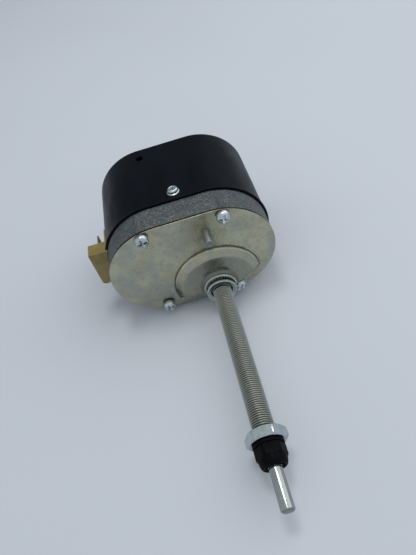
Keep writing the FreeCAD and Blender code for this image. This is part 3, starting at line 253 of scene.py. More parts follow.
class Paint:
    """A node material, built step by step."""

    def __init__(self, name, color, rough=0.5, metal=0.0):
        self.material = bpy.data.materials.new(name)
        self.material.use_nodes = True
        self.tree = self.material.node_tree
        self.nodes = self.tree.nodes
        self.shader = self.nodes["Principled BSDF"]
        self.set("Base Color", (*color, 1))
        self.set("Roughness", rough)
        self.set("Metallic", metal)
        self.coords = self.nodes.new("ShaderNodeTexCoord").outputs["Object"]
        self.color, self.rough, self.height = None, None, None
        self.base, self.base_rough = color, rough

    def set(self, socket, value):
        """Sets one input of the shader."""
        self.shader.inputs[socket].default_value = value
        return self

    def link(self, a, b):
        self.tree.links.new(a, b)

    def mapped(self, scale=(1, 1, 1)):
        """Object coordinates, scaled along each axis."""
        node = self.nodes.new("ShaderNodeMapping")
        node.inputs["Scale"].default_value = scale
        self.link(self.coords, node.inputs["Vector"])
        return node.outputs["Vector"]

    def noise(self, size_mm, detail=4.0, scale=(1, 1, 1), rough=0.5):
        node = self.nodes.new("ShaderNodeTexNoise")
        node.inputs["Scale"].default_value = 1 / (size_mm * MM)
        node.inputs["Detail"].default_value = detail
        node.inputs["Roughness"].default_value = rough
        self.link(self.mapped(scale), node.inputs["Vector"])
        return node.outputs["Fac"]

    def radius(self):
        """Distance from the spindle's axis, in millimetres."""
        node = self.nodes.new("ShaderNodeVectorMath")
        node.operation = "LENGTH"
        self.link(self.mapped((1 / MM, 0, 1 / MM)), node.inputs[0])
        return node.outputs["Value"]

    def along(self):
        """Position along the spindle, in millimetres from the plate's face."""
        node = self.nodes.new("ShaderNodeSeparateXYZ")
        self.link(self.mapped((1 / MM, 1 / MM, 1 / MM)), node.inputs[0])
        return node.outputs["Y"]

    def remap(self, source, low, high, to_low, to_high):
        node = self.nodes.new("ShaderNodeMapRange")
        for name, value in (("From Min", low), ("From Max", high), ("To Min", to_low), ("To Max", to_high)):
            node.inputs[name].default_value = value
        self.link(source, node.inputs["Value"])
        return node.outputs["Result"]

    def tint(self, source, color, low=0.4, high=0.6, amount=1.0):
        """Mixes another colour in where source is high."""
        node = self.nodes.new("ShaderNodeMix")
        node.data_type = "RGBA"
        self.link(self.remap(source, low, high, 0, amount), node.inputs["Factor"])
        if self.color is None:
            node.inputs["A"].default_value = (*self.base, 1)
        else:
            self.link(self.color, node.inputs["A"])
        node.inputs["B"].default_value = (*color, 1)
        self.color = node.outputs["Result"]
        return self

    def grade(self, source, low=0.35, high=0.65, span=0.1):
        """Varies the roughness with source."""
        self.rough = self.remap(source, low, high, max(0.02, self.base_rough - span), self.base_rough + span)
        return self

    def bump(self, source, depth_mm, strength=1.0):
        node = self.nodes.new("ShaderNodeBump")
        node.inputs["Strength"].default_value = strength
        node.inputs["Distance"].default_value = depth_mm * MM
        self.link(source, node.inputs["Height"])
        if self.height is not None:
            self.link(self.height, node.inputs["Normal"])
        self.height = node.outputs["Normal"]
        return self

    def worn_edge_highlight(self, color, low=0.55, high=0.62, amount=0.7):
        """Lightens convex edges: wear from handling, and a painted highlight where rounded edges catch the
        light.
        """
        geo = self.nodes.new("ShaderNodeNewGeometry")
        return self.tint(geo.outputs["Pointiness"], color, low, high, amount)

    def crease_shade(self, color, low=0.49, high=0.44, amount=0.8):
        """Darkens concave creases with painted shade, and the dirt that gathers there."""
        geo = self.nodes.new("ShaderNodeNewGeometry")
        return self.tint(geo.outputs["Pointiness"], color, low, high, amount)

    def done(self):
        """Links what was built to the shader and returns the material."""
        if self.color is not None:
            self.link(self.color, self.shader.inputs["Base Color"])
        if self.rough is not None:
            self.link(self.rough, self.shader.inputs["Roughness"])
        if self.height is not None:
            self.link(self.height, self.shader.inputs["Normal"])
        return self.material


def make_plate_zinc():
    """Yellowed zinc in soft patches, darker on the pressings, with a brown cut edge. Painted shade darkens
    that edge, the boss and the creases.
    """
    p = Paint("zinc_plate_yellow", (0.475, 0.475, 0.345), 0.27, 0.95)
    p.tint(p.noise(22, 3), (0.35, 0.37, 0.33), 0.44, 0.56, 0.9)
    p.tint(p.along(), (0.30, 0.31, 0.27), FACE - 0.9, FACE - 1.5, 0.75)  # dome
    p.tint(p.noise(12, 4), (0.42, 0.395, 0.285), 0.48, 0.6, 0.8)
    p.tint(p.noise(3.2, 4), (0.28, 0.285, 0.25), 0.52, 0.72, 0.5)
    p.tint(p.noise(0.5, 4), (0.24, 0.245, 0.215), 0.55, 0.8, 0.4)
    # cut edge: brown rust, darkened further as painted shade that holds back the rounded edge's highlight
    p.tint(p.along(), (0.03, 0.022, 0.016), FACE + 0.12, FACE + 0.3, 1.0)  # cut edge
    # painted shade on the boss, around the washer's foot
    p.tint(p.along(), (0.15, 0.155, 0.13), FACE - 4.4, FACE - 5.2, 0.85)  # boss
    # painted shade in the sheet's concave creases, such as the dome's foot
    p.crease_shade((0.05, 0.05, 0.042), 0.495, 0.46, 0.9)
    p.grade(p.noise(5.0, 5), 0.35, 0.65, 0.08)
    p.bump(p.noise(0.35, 3), 0.008)
    p.bump(p.noise(6, 2), 0.02)
    return p.done()


def make_bright_zinc(name="zinc_bright", rough=0.3):
    p = Paint(name, (0.50, 0.575, 0.58), rough, 1.0)
    p.tint(p.noise(2.4, 4), (0.38, 0.45, 0.47), 0.4, 0.65, 0.8)
    # lighter convex edges: wear, and a painted highlight on the rounded edges
    p.worn_edge_highlight((0.82, 0.86, 0.87), 0.53, 0.6, 0.8)
    p.grade(p.noise(1.2, 5), 0.3, 0.7, 0.06)
    p.bump(p.noise(2.5, 2), 0.006)
    return p.done()


def make_casting():
    p = Paint("cast_aluminium_rough", (0.092, 0.106, 0.107), 0.62, 0.5)
    p.tint(p.noise(0.9, 3), (0.05, 0.062, 0.062), 0.48, 0.62, 0.85)
    p.tint(p.noise(0.8, 3, (1, 1, 1.1)), (0.27, 0.29, 0.29), 0.52, 0.66, 0.85)
    p.tint(p.noise(9, 3), (0.065, 0.08, 0.084), 0.45, 0.65, 0.6)
    p.grade(p.noise(2.0, 4), 0.3, 0.7, 0.12)
    p.bump(p.noise(0.9, 4, rough=0.6), 0.22)
    p.bump(p.noise(3.5, 3), 0.2)
    return p.done()


def make_black_cover():
    p = Paint("black_satin_shell", (0.0014, 0.003, 0.0045), 0.4)
    p.set("Specular IOR Level", 0.1)
    p.tint(p.noise(14, 4, (1, 0.35, 1)), (0.003, 0.0052, 0.009), 0.45, 0.7, 0.8)
    p.grade(p.noise(9, 6, (1, 0.5, 1)), 0.3, 0.7, 0.07)
    p.tint(p.noise(0.6, 2), (0.02, 0.024, 0.027), 0.72, 0.8, 0.35)
    p.bump(p.noise(22, 2), 0.18)
    p.bump(p.noise(0.4, 4), 0.012)
    return p.done()


def make_nylon():
    p = Paint("nylon_natural", (0.27, 0.225, 0.075), 0.46)
    p.set("Subsurface Weight", 0.25).set("Subsurface Radius", (0.004, 0.003, 0.001))
    p.set("Subsurface Scale", 0.4)
    p.tint(p.noise(7, 3), (0.225, 0.155, 0.045), 0.45, 0.62, 0.8)
    p.grade(p.noise(2, 4), 0.3, 0.7, 0.08)
    p.bump(p.noise(0.5, 4), 0.01)
    return p.done()


def make_thread_steel():
    """Dull steel; crests lighter from wear and a painted highlight, roots darker from dirt and painted shade.
    """
    p = Paint("steel_thread_dull", (0.31, 0.325, 0.28), 0.42, 0.85)
    p.tint(p.noise(1.2, 5), (0.15, 0.16, 0.14), 0.45, 0.7, 0.7)
    p.tint(p.noise(14, 3, (1, 0.6, 1)), (0.37, 0.38, 0.345), 0.48, 0.7, 0.7)
    # crests: wear, and a painted highlight
    p.tint(p.radius(), (0.50, 0.52, 0.47), 5.6, 5.95, 0.8)  # crests
    # roots: dirt, and painted shade
    p.tint(p.radius(), (0.03, 0.033, 0.026), 5.6, 5.27, 0.9)  # roots
    p.grade(p.noise(0.8, 5), 0.3, 0.7, 0.12)
    p.bump(p.noise(0.25, 4), 0.02)
    return p.done()


def make_bright_steel(name="steel_ground", color=(0.62, 0.64, 0.63), rough=0.22):
    p = Paint(name, color, rough, 1.0)
    p.tint(p.noise(0.25, 3, (1, 12, 1)), tuple(c * 0.8 for c in color), 0.45, 0.7, 0.5)
    p.grade(p.noise(0.5, 4, (1, 8, 1)), 0.3, 0.7, 0.07)
    p.bump(p.noise(0.15, 3, (1, 9, 1)), 0.004)
    return p.done()


def make_shaft():
    """Ground steel, duller and darker on the sawn end."""
    p = Paint("steel_shaft", (0.36, 0.39, 0.375), 0.2, 1.0)
    p.tint(p.noise(0.25, 3, (1, 0.08, 1)), (0.22, 0.245, 0.235), 0.45, 0.7, 0.7)
    p.tint(p.along(), (0.2, 0.195, 0.185), FACE + SHAFT_END + 0.6, FACE + SHAFT_END + 0.2, 0.9)
    p.grade(p.noise(0.5, 4, (1, 0.12, 1)), 0.3, 0.7, 0.07)
    p.bump(p.noise(0.2, 3, (1, 0.1, 1)), 0.004)
    return p.done()


def make_dark_steel():
    p = Paint("steel_hardened_dark", (0.06, 0.065, 0.06), 0.34, 0.9)
    p.tint(p.noise(0.8, 4), (0.12, 0.12, 0.11), 0.5, 0.7, 0.6)
    p.grade(p.noise(0.6, 4), 0.3, 0.7, 0.1)
    p.bump(p.noise(0.2, 3), 0.01)
    return p.done()


def make_rubber():
    p = Paint("seal_black", (0.0002, 0.0007, 0.0014), 0.55)
    p.set("Specular IOR Level", 0.08)
    p.tint(p.noise(1.5, 5), (0.0008, 0.0014, 0.0022), 0.5, 0.7, 0.7)
    p.grade(p.noise(1.0, 5), 0.3, 0.7, 0.1)
    p.bump(p.noise(0.3, 4), 0.012)
    return p.done()


def make_brass(name, color, rough=0.3):
    p = Paint(name, color, rough, 1.0)
    p.tint(p.noise(1.5, 5), tuple(c * 0.65 for c in color), 0.45, 0.7, 0.6)
    p.grade(p.noise(0.7, 5), 0.3, 0.7, 0.1)
    p.bump(p.noise(0.2, 3), 0.006)
    return p.done()


def make_plain(name, color, other, rough=0.5, metal=0.0, grain=1.0, depth=0.02):
    """A material with two mixed tones, uneven gloss and a fine grain."""
    p = Paint(name, color, rough, metal)
    p.tint(p.noise(grain * 5, 4), other, 0.42, 0.66, 0.8)
    p.tint(p.noise(grain, 3), tuple(c * 0.8 for c in other), 0.5, 0.75, 0.5)
    p.grade(p.noise(grain * 1.7, 5), 0.3, 0.7, 0.08)
    p.bump(p.noise(grain * 0.4, 3), depth)
    return p.done()


def make_windings():
    p = Paint("copper_enamel", (0.42, 0.13, 0.045), 0.3, 0.7)
    wave = p.nodes.new("ShaderNodeTexWave")
    wave.bands_direction = "X"
    wave.inputs["Scale"].default_value = 260
    wave.inputs["Distortion"].default_value = 2.5
    p.link(p.mapped(), wave.inputs["Vector"])
    p.tint(wave.outputs["Fac"], (0.16, 0.04, 0.015), 0.1, 0.9, 0.8)
    p.bump(wave.outputs["Fac"], 0.18)
    p.grade(p.noise(1.5, 4), 0.3, 0.7, 0.1)
    return p.done()


def make_laminations():
    p = Paint("laminated_steel", (0.15, 0.15, 0.155), 0.45, 0.8)
    wave = p.nodes.new("ShaderNodeTexWave")
    wave.bands_direction = "Y"
    wave.inputs["Scale"].default_value = 330
    p.link(p.mapped(), wave.inputs["Vector"])
    p.tint(wave.outputs["Fac"], (0.06, 0.055, 0.05), 0.2, 0.8, 0.8)
    p.tint(p.noise(3, 4), (0.2, 0.13, 0.08), 0.55, 0.75, 0.4)
    p.bump(wave.outputs["Fac"], 0.05)
    return p.done()


ZINC_PLATE = make_plate_zinc()
BRIGHT_ZINC = make_bright_zinc()
NUT_ZINC = make_bright_zinc("zinc_nut_smooth", 0.16)
CASTING = make_casting()
BLACK_COVER = make_black_cover()
NYLON = make_nylon()
THREAD_STEEL = make_thread_steel()
GROUND = make_bright_steel()
SHAFT = make_shaft()
WASHER = make_plain("zinc_washer", (0.68, 0.70, 0.68), (0.52, 0.56, 0.55), 0.4, 0.6, 0.5, 0.004)
PEG = make_bright_steel("steel_peg", (0.27, 0.30, 0.295), 0.45)
DARK = make_dark_steel()
RUBBER = make_rubber()
BRASS = make_brass("brass_terminal", (0.55, 0.43, 0.19))
BRONZE = make_brass("bronze_sintered", (0.36, 0.22, 0.10), 0.5)
COPPER = make_brass("copper_segment", (0.55, 0.25, 0.12), 0.25)
WINDINGS = make_windings()
LAMINATED = make_laminations()
GASKET = make_plain("gasket_fibre", (0.085, 0.05, 0.028), (0.055, 0.03, 0.018), 0.8, 0, 0.8, 0.03)
ACETAL = make_plain("acetal_white", (0.66, 0.64, 0.56), (0.60, 0.57, 0.48), 0.4, 0, 1.0, 0.01)
CAN = make_plain("can_drawn_steel", (0.22, 0.23, 0.235), (0.16, 0.17, 0.17), 0.38, 0.9, 1.2, 0.01)
FERRITE = make_plain("ferrite_dark", (0.035, 0.035, 0.038), (0.055, 0.055, 0.058), 0.55, 0.2, 0.8, 0.03)
BOARD = make_plain("phenolic_board", (0.16, 0.075, 0.03), (0.10, 0.045, 0.02), 0.5, 0, 0.8, 0.01)
CARBON = make_plain("carbon_brush", (0.03, 0.03, 0.032), (0.055, 0.05, 0.048), 0.6, 0.1, 0.5, 0.02)
WIRE = make_plain("wire_insulation", (0.28, 0.02, 0.015), (0.2, 0.012, 0.01), 0.4, 0, 0.8, 0.006)
DULL = make_plain("steel_stamped", (0.30, 0.31, 0.30), (0.2, 0.205, 0.2), 0.4, 0.9, 1.0, 0.01)


def dress(obj, material):
    """Gives an object one material in every slot."""
    obj.data.materials.clear()
    obj.data.materials.append(material)
    return obj


CAD_LOOKS = {
    "plate_gasket": GASKET, "terminals": BRASS, "spindle_bush_rear": BRONZE, "spindle_bush_front": BRONZE,
    "thrust_washer": BRIGHT_ZINC, "shaft_clip": DULL, "rocker_lever": DULL, "rocker_pin": GROUND,
    "link_spacer": DARK, "connecting_rod": DULL, "crank_pin": GROUND, "crank_wheel": ACETAL,
    "park_disc": BRASS, "crank_axle": DARK, "crank_clip": BRIGHT_ZINC, "intermediate_gear": ACETAL,
    "intermediate_axle": DARK, "intermediate_clip": BRIGHT_ZINC, "armature_pinion": GROUND,
    "armature_shaft": GROUND, "commutator": COPPER, "armature_core": LAMINATED,
    "armature_windings": WINDINGS, "motor_can": CAN, "front_bearing": BRONZE, "rear_bearing": BRONZE,
    "magnets": FERRITE, "brush_plate": BOARD, "brushes": CARBON, "brush_boxes": BRASS,
    "brush_springs": GROUND, "leads": WIRE, "contact_holder": BOARD, "park_contacts": BRASS,
    "front_plate": ZINC_PLATE, "gear_housing": CASTING, "motor_cover": BLACK_COVER,
    "terminal_block": NYLON, "plate_screws": BRIGHT_ZINC, "screw_washers": DARK, "cover_screws": BRIGHT_ZINC,
    "index_peg": GROUND, "spindle_tube": THREAD_STEEL, "plain_washer": BRIGHT_ZINC, "tooth_lock_washer": DARK,
    "front_ring": BRIGHT_ZINC, "spindle_nut": NUT_ZINC, "nut_seal_ring": RUBBER, "seal_cap": RUBBER,
    "output_shaft": SHAFT,
}
for node_name, look in CAD_LOOKS.items():
    dress(NODES[node_name], look)


# ---------------------------------------------------------------- front plate

DOME_R, DOME_WIDTH, DOME_RISE, DOME_INSET = 28.4, 4.2, 4.6, 5.8
BOSS_R, BOSS_RISE, BOSS_LEAN = 10.9, 6.3, 0.5
FLARE_R, FLARE_RISE = 12.8, 1.3
SHEET = 1.4
PLATE_R = 35.5
SCREW_AT = [(MID_X + sx * 24.3, MID_Z + sz * 30.8) for sx in (-1, 1) for sz in (-1, 1)]
DENT_AT = SCREW_AT[2]  # the dome is pressed back around this screw
DENT_R, DENT_WIDTH = 4.6, 2.2
CREASE_DEPTH, CREASE_WIDTH = 0.26, 0.3
EDGE_ROUND = 0.25
PEG_AT, PEG_SHANK = (0.6, 43.0), 2.0
SCREW_HOLE = 2.2
HOLES = [(0.0, 0.0, TUBE_R), (*PEG_AT, PEG_SHANK)] + [(x, z, SCREW_HOLE) for x, z in SCREW_AT]
# Where the sheet's height is sampled: depths in from its edge, depths in from the dome's foot, and radii
EDGE_INSETS = (0.1, 0.25, 0.5, 1.0, 2.0, 3.2, 4.4)
DOME_INSETS = (-0.6, -0.4, -0.25, -0.12, 0, 0.15, 0.4, 0.9, 1.6, 2.4, 3.0, 3.4, 3.7, 4.0, 4.3, 4.6, 4.9, 5.3)
BOSS_RADII = (10.1, 10.25, 10.35, 10.45, 10.55, 10.65, 10.75, 10.85, 10.95, 11.1, 11.4, 11.8, 12.2, 12.7,
              13.4)
SEAT_RADII = (6.8, 7.8, 8.8, 9.6)
GRID_STEP = 1.6


def clamp(value):
    """Limits a value to 0 to 1."""
    return min(max(value, 0.0), 1.0)


def oval_depth(x, z, radius=PLATE_R):
    """Distance inwards from the plate's edge."""
    return radius - math.hypot(max(abs(x - MID_X) - HALF, 0.0), z - MID_Z)


def soft_min(a, b, blend):
    """The smaller of two heights, with a rounded change from one to the other."""
    share = clamp(0.5 + 0.5 * (b - a) / blend)
    return b + (a - b) * share - blend * share * (1 - share)


def plate_height(x, z):
    """How far the pressed sheet stands out of the plate's face."""
    r = math.hypot(x, z)
    edge_depth = oval_depth(x, z) - DOME_INSET
    inside = min(DOME_R - r, edge_depth)
    sides = soft_min(DOME_R - r, edge_depth, 0.8) * DOME_RISE / DOME_WIDTH
    dome = max(soft_min(sides, DOME_RISE, 1.0), 0.0)
    flare = FLARE_RISE * clamp((FLARE_R - r) / (FLARE_R - BOSS_R)) ** 2.2 * dome / DOME_RISE
    boss = soft_min((BOSS_R - r) / BOSS_LEAN * BOSS_RISE, BOSS_RISE, 0.9)
    from_dent = math.hypot(x - DENT_AT[0], z - DENT_AT[1]) - DENT_R
    raised = soft_min(max(dome + flare, boss), from_dent * DOME_RISE / DENT_WIDTH, 0.7)
    crease = CREASE_DEPTH * math.exp(-((inside + 0.2) / CREASE_WIDTH) ** 2)
    crease *= clamp(from_dent / 0.6) * clamp(r - BOSS_R)
    return max(raised, 0.0) - crease


def ring_points(cx, cz, radius, step):
    """Points around a circle, about a step apart."""
    count = max(14, int(2 * math.pi * radius / step))
    turns = [2 * math.pi * i / count for i in range(count)]
    return [(cx + radius * math.cos(a), cz + radius * math.sin(a)) for a in turns]


def oval_points(radius, arc=60, flat=34):
    """Points around the flat oval."""
    return [(cx + nx * radius, MID_Z + nz * radius) for cx, nx, nz in oval_stations(arc, flat)]


def clear_of_holes(x, z, margin):
    """Whether a point is further than a margin from every hole's edge."""
    return all(math.hypot(x - cx, z - cz) > radius + margin for cx, cz, radius in HOLES)


def dome_samples():
    """Points across the dome's rim, straight side and arc."""
    points = []
    for inset in DOME_INSETS:
        straight = oval_points(PLATE_R - DOME_INSET - inset, 80, 60)
        curved = ring_points(0, 0, DOME_R - inset, 0.7)
        points += [p for p in straight if math.hypot(*p) < DOME_R + 0.6]
        points += [p for p in curved if oval_depth(*p) > DOME_INSET - 0.6]
    for i in range(16):
        around_dent = ring_points(*DENT_AT, DENT_R - 0.15 + 0.2 * i, 0.5)
        points += [p for p in around_dent if oval_depth(*p) > 0.3]
    return points


def flat_samples():
    """A grid of points over what is left flat."""
    points = []
    for i in range(-42, 30):
        for j in range(-12, 46):
            x, z = (i + 0.5 * (j % 2)) * GRID_STEP, j * GRID_STEP * 0.866
            r, depth = math.hypot(x, z), oval_depth(x, z)
            bend = 22.6 < r < 29.4 or r < 13.9 or 4.8 < depth < 11.5 and r < 30
            dented = math.hypot(x - DENT_AT[0], z - DENT_AT[1]) < 8.2
            if depth > 1.8 and not bend and not dented:
                points.append((x, z))
    return points


def plate_samples():
    """Points where the sheet's height is taken: close together where it bends."""
    points = []
    for inset in EDGE_INSETS:
        points += oval_points(PLATE_R - inset)
    points += dome_samples()
    for radius in BOSS_RADII:
        points += ring_points(0, 0, radius, 0.55)
    for radius in SEAT_RADII:
        points += ring_points(0, 0, radius, 0.9)
    points += flat_samples()
    return [p for p in points if clear_of_holes(*p, 0.35) and oval_depth(*p) > 0.05]


def sheet_outlines():
    """The sheet's edge and holes: points, the edges between them, and each loop's point numbers."""
    points, edges, loops = [], [], []
    for ring in [oval_points(PLATE_R)] + [ring_points(x, z, r, 0.7) for x, z, r in HOLES]:
        start, count = len(points), len(ring)
        points += ring
        edges += [(start + i, start + (i + 1) % count) for i in range(count)]
        loops.append(range(start, start + count))
    return points, edges, loops


def in_sheet(face, coords):
    """Whether a triangle's middle lies on the sheet, not in a hole or outside its edge."""
    middle = sum((coords[i] for i in face), Vector((0, 0))) / 3
    return oval_depth(*middle) > 0.004 and clear_of_holes(*middle, -0.02)


def sheet_front(x, z):
    """Y of the sheet's front, rounded over at its edge."""
    near = max(0.0, EDGE_ROUND - oval_depth(x, z))
    return EDGE_ROUND - math.sqrt(max(0.0, EDGE_ROUND ** 2 - near * near)) - plate_height(x, z)


def build_front_plate():
    """The pressed sheet: a height field in front, one behind, and walls at its edge and holes."""
    points, edges, loops = sheet_outlines()
    points += plate_samples()
    flat = [Vector(p) for p in points]
    coords, _, triangles, origins, _, _ = geometry.delaunay_2d_cdt(flat, edges, [], 1, 1e-5)
    index = {old: new for new, olds in enumerate(origins) for old in olds}
    kept = [list(face) for face in triangles if in_sheet(face, coords)]
    count = len(coords)
    verts = [(c.x, sheet_front(*c), c.y) for c in coords]
    verts += [(c.x, SHEET - min(max(plate_height(*c), 0.0), DOME_RISE), c.y) for c in coords]
    faces = kept + [[i + count for i in reversed(f)] for f in kept]
    for loop in loops:
        ids = [index[i] for i in loop]
        faces += [[a, b, b + count, a + count] for a, b in zip(ids, ids[1:] + ids[:1])]
    return make_object("front_plate_pressed", verts, faces, 50)


piece(build_front_plate(), ZINC_PLATE, "frame", "zinc_plate", "front_plate")


# ---------------------------------------------------------------- housing and cover

WALL_R = 35.3
HOUSING_FRONT, HOUSING_BACK = 1.8, 18.8
CRANK_X = -20.7


def cast_ripple(x, y, z):
    """How far the sand-rough outer wall stands in or out."""
    on_wall = HOUSING_FRONT + 0.1 < y < HOUSING_BACK - 0.1
    if not on_wall or math.hypot(max(abs(x - MID_X) - HALF, 0), z) <= 34:
        return 0.0
    return 0.055 * (lumps(x, y, z, 1.5) + lumps(x, y, z, 0.7)) - 0.05


def build_housing():
    """The casting: outer wall, skirt, floor, screw bosses and bearing hub. The outer wall is left rough."""
    wall = [(WALL_R, HOUSING_FRONT + 0.85 * i) for i in range(1, 20)]
    outline = [(20.0, 16.2), (31.9, 16.2), (32.0, 2.1), (32.3, HOUSING_FRONT), (35.05, HOUSING_FRONT)] + wall
    outline += [(35.1, 18.75), (33.9, HOUSING_BACK), (33.9, 28.7), (33.6, 29.0), (32.2, 29.0), (31.9, 28.7),
                (31.9, HOUSING_BACK), (20.0, HOUSING_BACK)]
    parts = [oval_sweep("gear_housing_shell", outline, 110, 34, False, 40, cast_ripple)]
    for i, (x, z) in enumerate(SCREW_AT):
        boss = [(2.0, 1.85), (4.0, 1.85), (4.2, 2.1), (4.2, 16.7), (2.0, 16.7)]
        parts.append(lathe(f"boss_{i}", boss, 40, x, z, True))
    hub = [(6.5, 15.7), (8.6, 16.0), (8.6, 21.3), (8.3, 21.6), (6.6, 21.6), (6.5, 21.5)]
    parts.append(lathe("hub", hub, 64, MID_X, MID_Z, True))
    crank_boss = [(3.0, 13.6), (4.3, 13.6), (4.6, 13.9), (4.6, 16.4), (3.0, 16.4)]
    parts.append(lathe("crank_boss", crank_boss, 48, CRANK_X, MID_Z, True))
    return merge("gear_housing_casting", parts)


COVER_WALL, LIP_R = 36.0, 36.88
COVER_FLOOR, COVER_BACK = 81.3, 83.1
VENT_X, VENT_Y, VENT_R = -27.6, 71.2, 2.4
BLOCK_X, BLOCK_LOW, BLOCK_TOP = -74.5, 6.7, 34.7


def build_cover():
    """The deep cover: a lip at its mouth, a broad rounding at its closed end, and its openings."""
    inside = rounded([(30.0, COVER_FLOOR), (33.7, COVER_FLOOR, 3.0), (34.2, 50.0), (34.2, 18.9)], 7)
    outside = rounded([(34.3, 18.8), (LIP_R, 18.8, 0.35), (LIP_R, 20.05, 0.45), (36.05, 20.05, 0.25),
                       (COVER_WALL, 26.0), (35.9, 50.0), (35.5, COVER_BACK, 4.6), (30.0, COVER_BACK)], 9)
    cover = oval_sweep("motor_cover_shell", inside + outside, 72, 12, False, 38)
    slot = [(-80, BLOCK_LOW), (-60, BLOCK_LOW), (-60, BLOCK_TOP), (-80, BLOCK_TOP)]
    combine(cover, prism("slot", slot, 17.8, slot, 39.0), "DIFFERENCE", 38)

    def upwards(x, y, z):
        return VENT_X + x, VENT_Y - z, y

    vent = lathe("vent", [(0, 50), (VENT_R, 50), (VENT_R, 60), (0, 60)], 40, move=upwards)
    return combine(cover, vent, "DIFFERENCE", 38)


piece(build_housing(), CASTING, "frame", "cast_aluminium", "gear_housing")
piece(build_cover(), BLACK_COVER, "frame", "black_shell", "motor_cover")


# ---------------------------------------------------------------- terminal block

def arc_points(radius, z_from, z_to, steps=24):
    """Points of the oval's left end, at heights z_from to z_to."""
    first, last = math.asin((z_from - MID_Z) / radius), math.asin((z_to - MID_Z) / radius)
    turns = [first + (last - first) * i / steps for i in range(steps + 1)]
    return [(MID_X - HALF - radius * math.cos(a), MID_Z + radius * math.sin(a)) for a in turns]


def block_outline(root_r):
    """The block seen along Y: rounded outer corners, and a root that follows the oval at root_r."""
    corners = rounded([(-60.5, BLOCK_LOW), (BLOCK_X, BLOCK_LOW, 2.4), (BLOCK_X, BLOCK_TOP, 0.9),
                       (-60.5, BLOCK_TOP)], 8)
    return corners[1:-1] + arc_points(root_r, BLOCK_TOP, BLOCK_LOW)


def build_block():
    """The connector body: a thin front over the housing, the deep block, and a tongue along the cover."""
    front, deep = block_outline(35.4), block_outline(34.0)
    tongue = arc_points(36.8, BLOCK_LOW, BLOCK_TOP) + arc_points(34.0, BLOCK_TOP, BLOCK_LOW)
    block = prism("terminal_block_moulded", front, 18.0, front, 18.85)
    combine(block, prism("block_back", deep, 18.85, deep, 27.5), "UNION")
    combine(block, prism("block_tongue", tongue, 23.0, tongue, 39.0), "UNION")
    return soften(block, 0.55, 4, 40)


piece(build_block(), NYLON, "frame", "natural_nylon", "terminal_block")


# ---------------------------------------------------------------- screws

def cross_outline(x, z, reach, width, turn):
    """A plus sign: four arms of equal length."""
    corners = [(width, width), (width, reach), (-width, reach), (-width, width), (-reach, width),
               (-reach, -width), (-width, -width), (-width, -reach), (width, -reach), (width, -width),
               (reach, -width), (reach, width)]
    c, s = math.cos(math.radians(turn)), math.sin(math.radians(turn))
    return [(x + a * c - b * s, z + a * s + b * c) for a, b in corners]


def pan_screw(name, x, z, turn):
    """A pan head with a cross recess on a short shank."""
    head = [(0, -5.0), (1.2, -4.97), (2.2, -4.8), (3.0, -4.42), (3.65, -3.8), (4.05, -3.0), (4.2, -2.1),
            (4.15, -1.25), (3.9, -1.1), (2.0, -1.1), (2.0, 10.0), (1.4, 10.8), (0, 10.8)]
    screw = lathe(name, head, 56, x, z)
    recess = prism("recess", cross_outline(x, z, 4.1, 0.76, turn), -5.6,
                   cross_outline(x, z, 1.2, 0.45, turn), -2.6)
    return combine(screw, recess)


SCREW_TURNS = (20, 8, 52, 74)
screws = [pan_screw(f"plate_screw_{i + 1}", x, z, SCREW_TURNS[i]) for i, (x, z) in enumerate(SCREW_AT)]
for i, screw in enumerate(screws):
    soften(screw, 0.08, 2, 40)
    stands_for = ("plate_screws",) if i == 0 else ()
    piece(screw, BRIGHT_ZINC, "frame", "bright_zinc", *stands_for)

COVER_SCREW_X, COVER_SCREW_Y = -11.3, 26.4
SOCKET_R, SOCKET_TURN = 1.7, 15


def cover_screw(name, side):
    """A flanged screw with a hexagon socket, standing on the cover's flat side."""
    def outwards(x, y, z):
        return COVER_SCREW_X + x, COVER_SCREW_Y + z, MID_Z + side * (COVER_WALL - y)

    profile = [(0, -2.55), (1.9, -2.55), (2.1, -2.8), (2.55, -2.75), (3.0, -2.4), (3.22, -1.9), (3.25, -1.3),
               (3.3, -0.85), (3.9, -0.6), (4.0, -0.35), (4.0, -0.02), (2.0, 0), (2.0, 5.0), (0, 5.0)]
    screw = lathe(name, profile, 64, move=outwards)
    corners = [math.radians(60 * i + SOCKET_TURN) for i in range(6)]
    hexagon = [(SOCKET_R * math.cos(a), SOCKET_R * math.sin(a)) for a in corners]
    combine(screw, prism("socket", hexagon, -3.2, hexagon, -1.3, move=outwards))
    return soften(screw, 0.06, 2, 40)


piece(cover_screw("cover_screw_top", 1), BRIGHT_ZINC, "frame", "bright_zinc", "cover_screws")
piece(cover_screw("cover_screw_low", -1), BRIGHT_ZINC, "frame", "bright_zinc")

PEG_END, PEG_R = -11.2, 2.75
peg_profile = rounded([(0, PEG_END + 0.35), (1.4, PEG_END + 0.3), (1.7, PEG_END), (PEG_R, PEG_END, 0.45),
                       (PEG_R, -0.01), (PEG_SHANK, 0), (PEG_SHANK, SHEET), (0, SHEET)], 4)
piece(lathe("index_peg_turned", peg_profile, 56, *PEG_AT), PEG, "frame", "bright_steel", "index_peg")


# ---------------------------------------------------------------- spindle

PITCH = 1.25
ROOT_R, CREST_R = 5.25, 5.98
# One pitch of the thread: (share of the pitch, share of the thread's height)
THREAD = ((0.0, 0.0), (0.06, 0.0), (0.25, 0.45), (0.42, 1.0), (0.56, 1.0), (0.75, 0.45))
WASHER_R, WASHER_FRONT, WASHER_BACK = 10.6, -7.6, -6.3


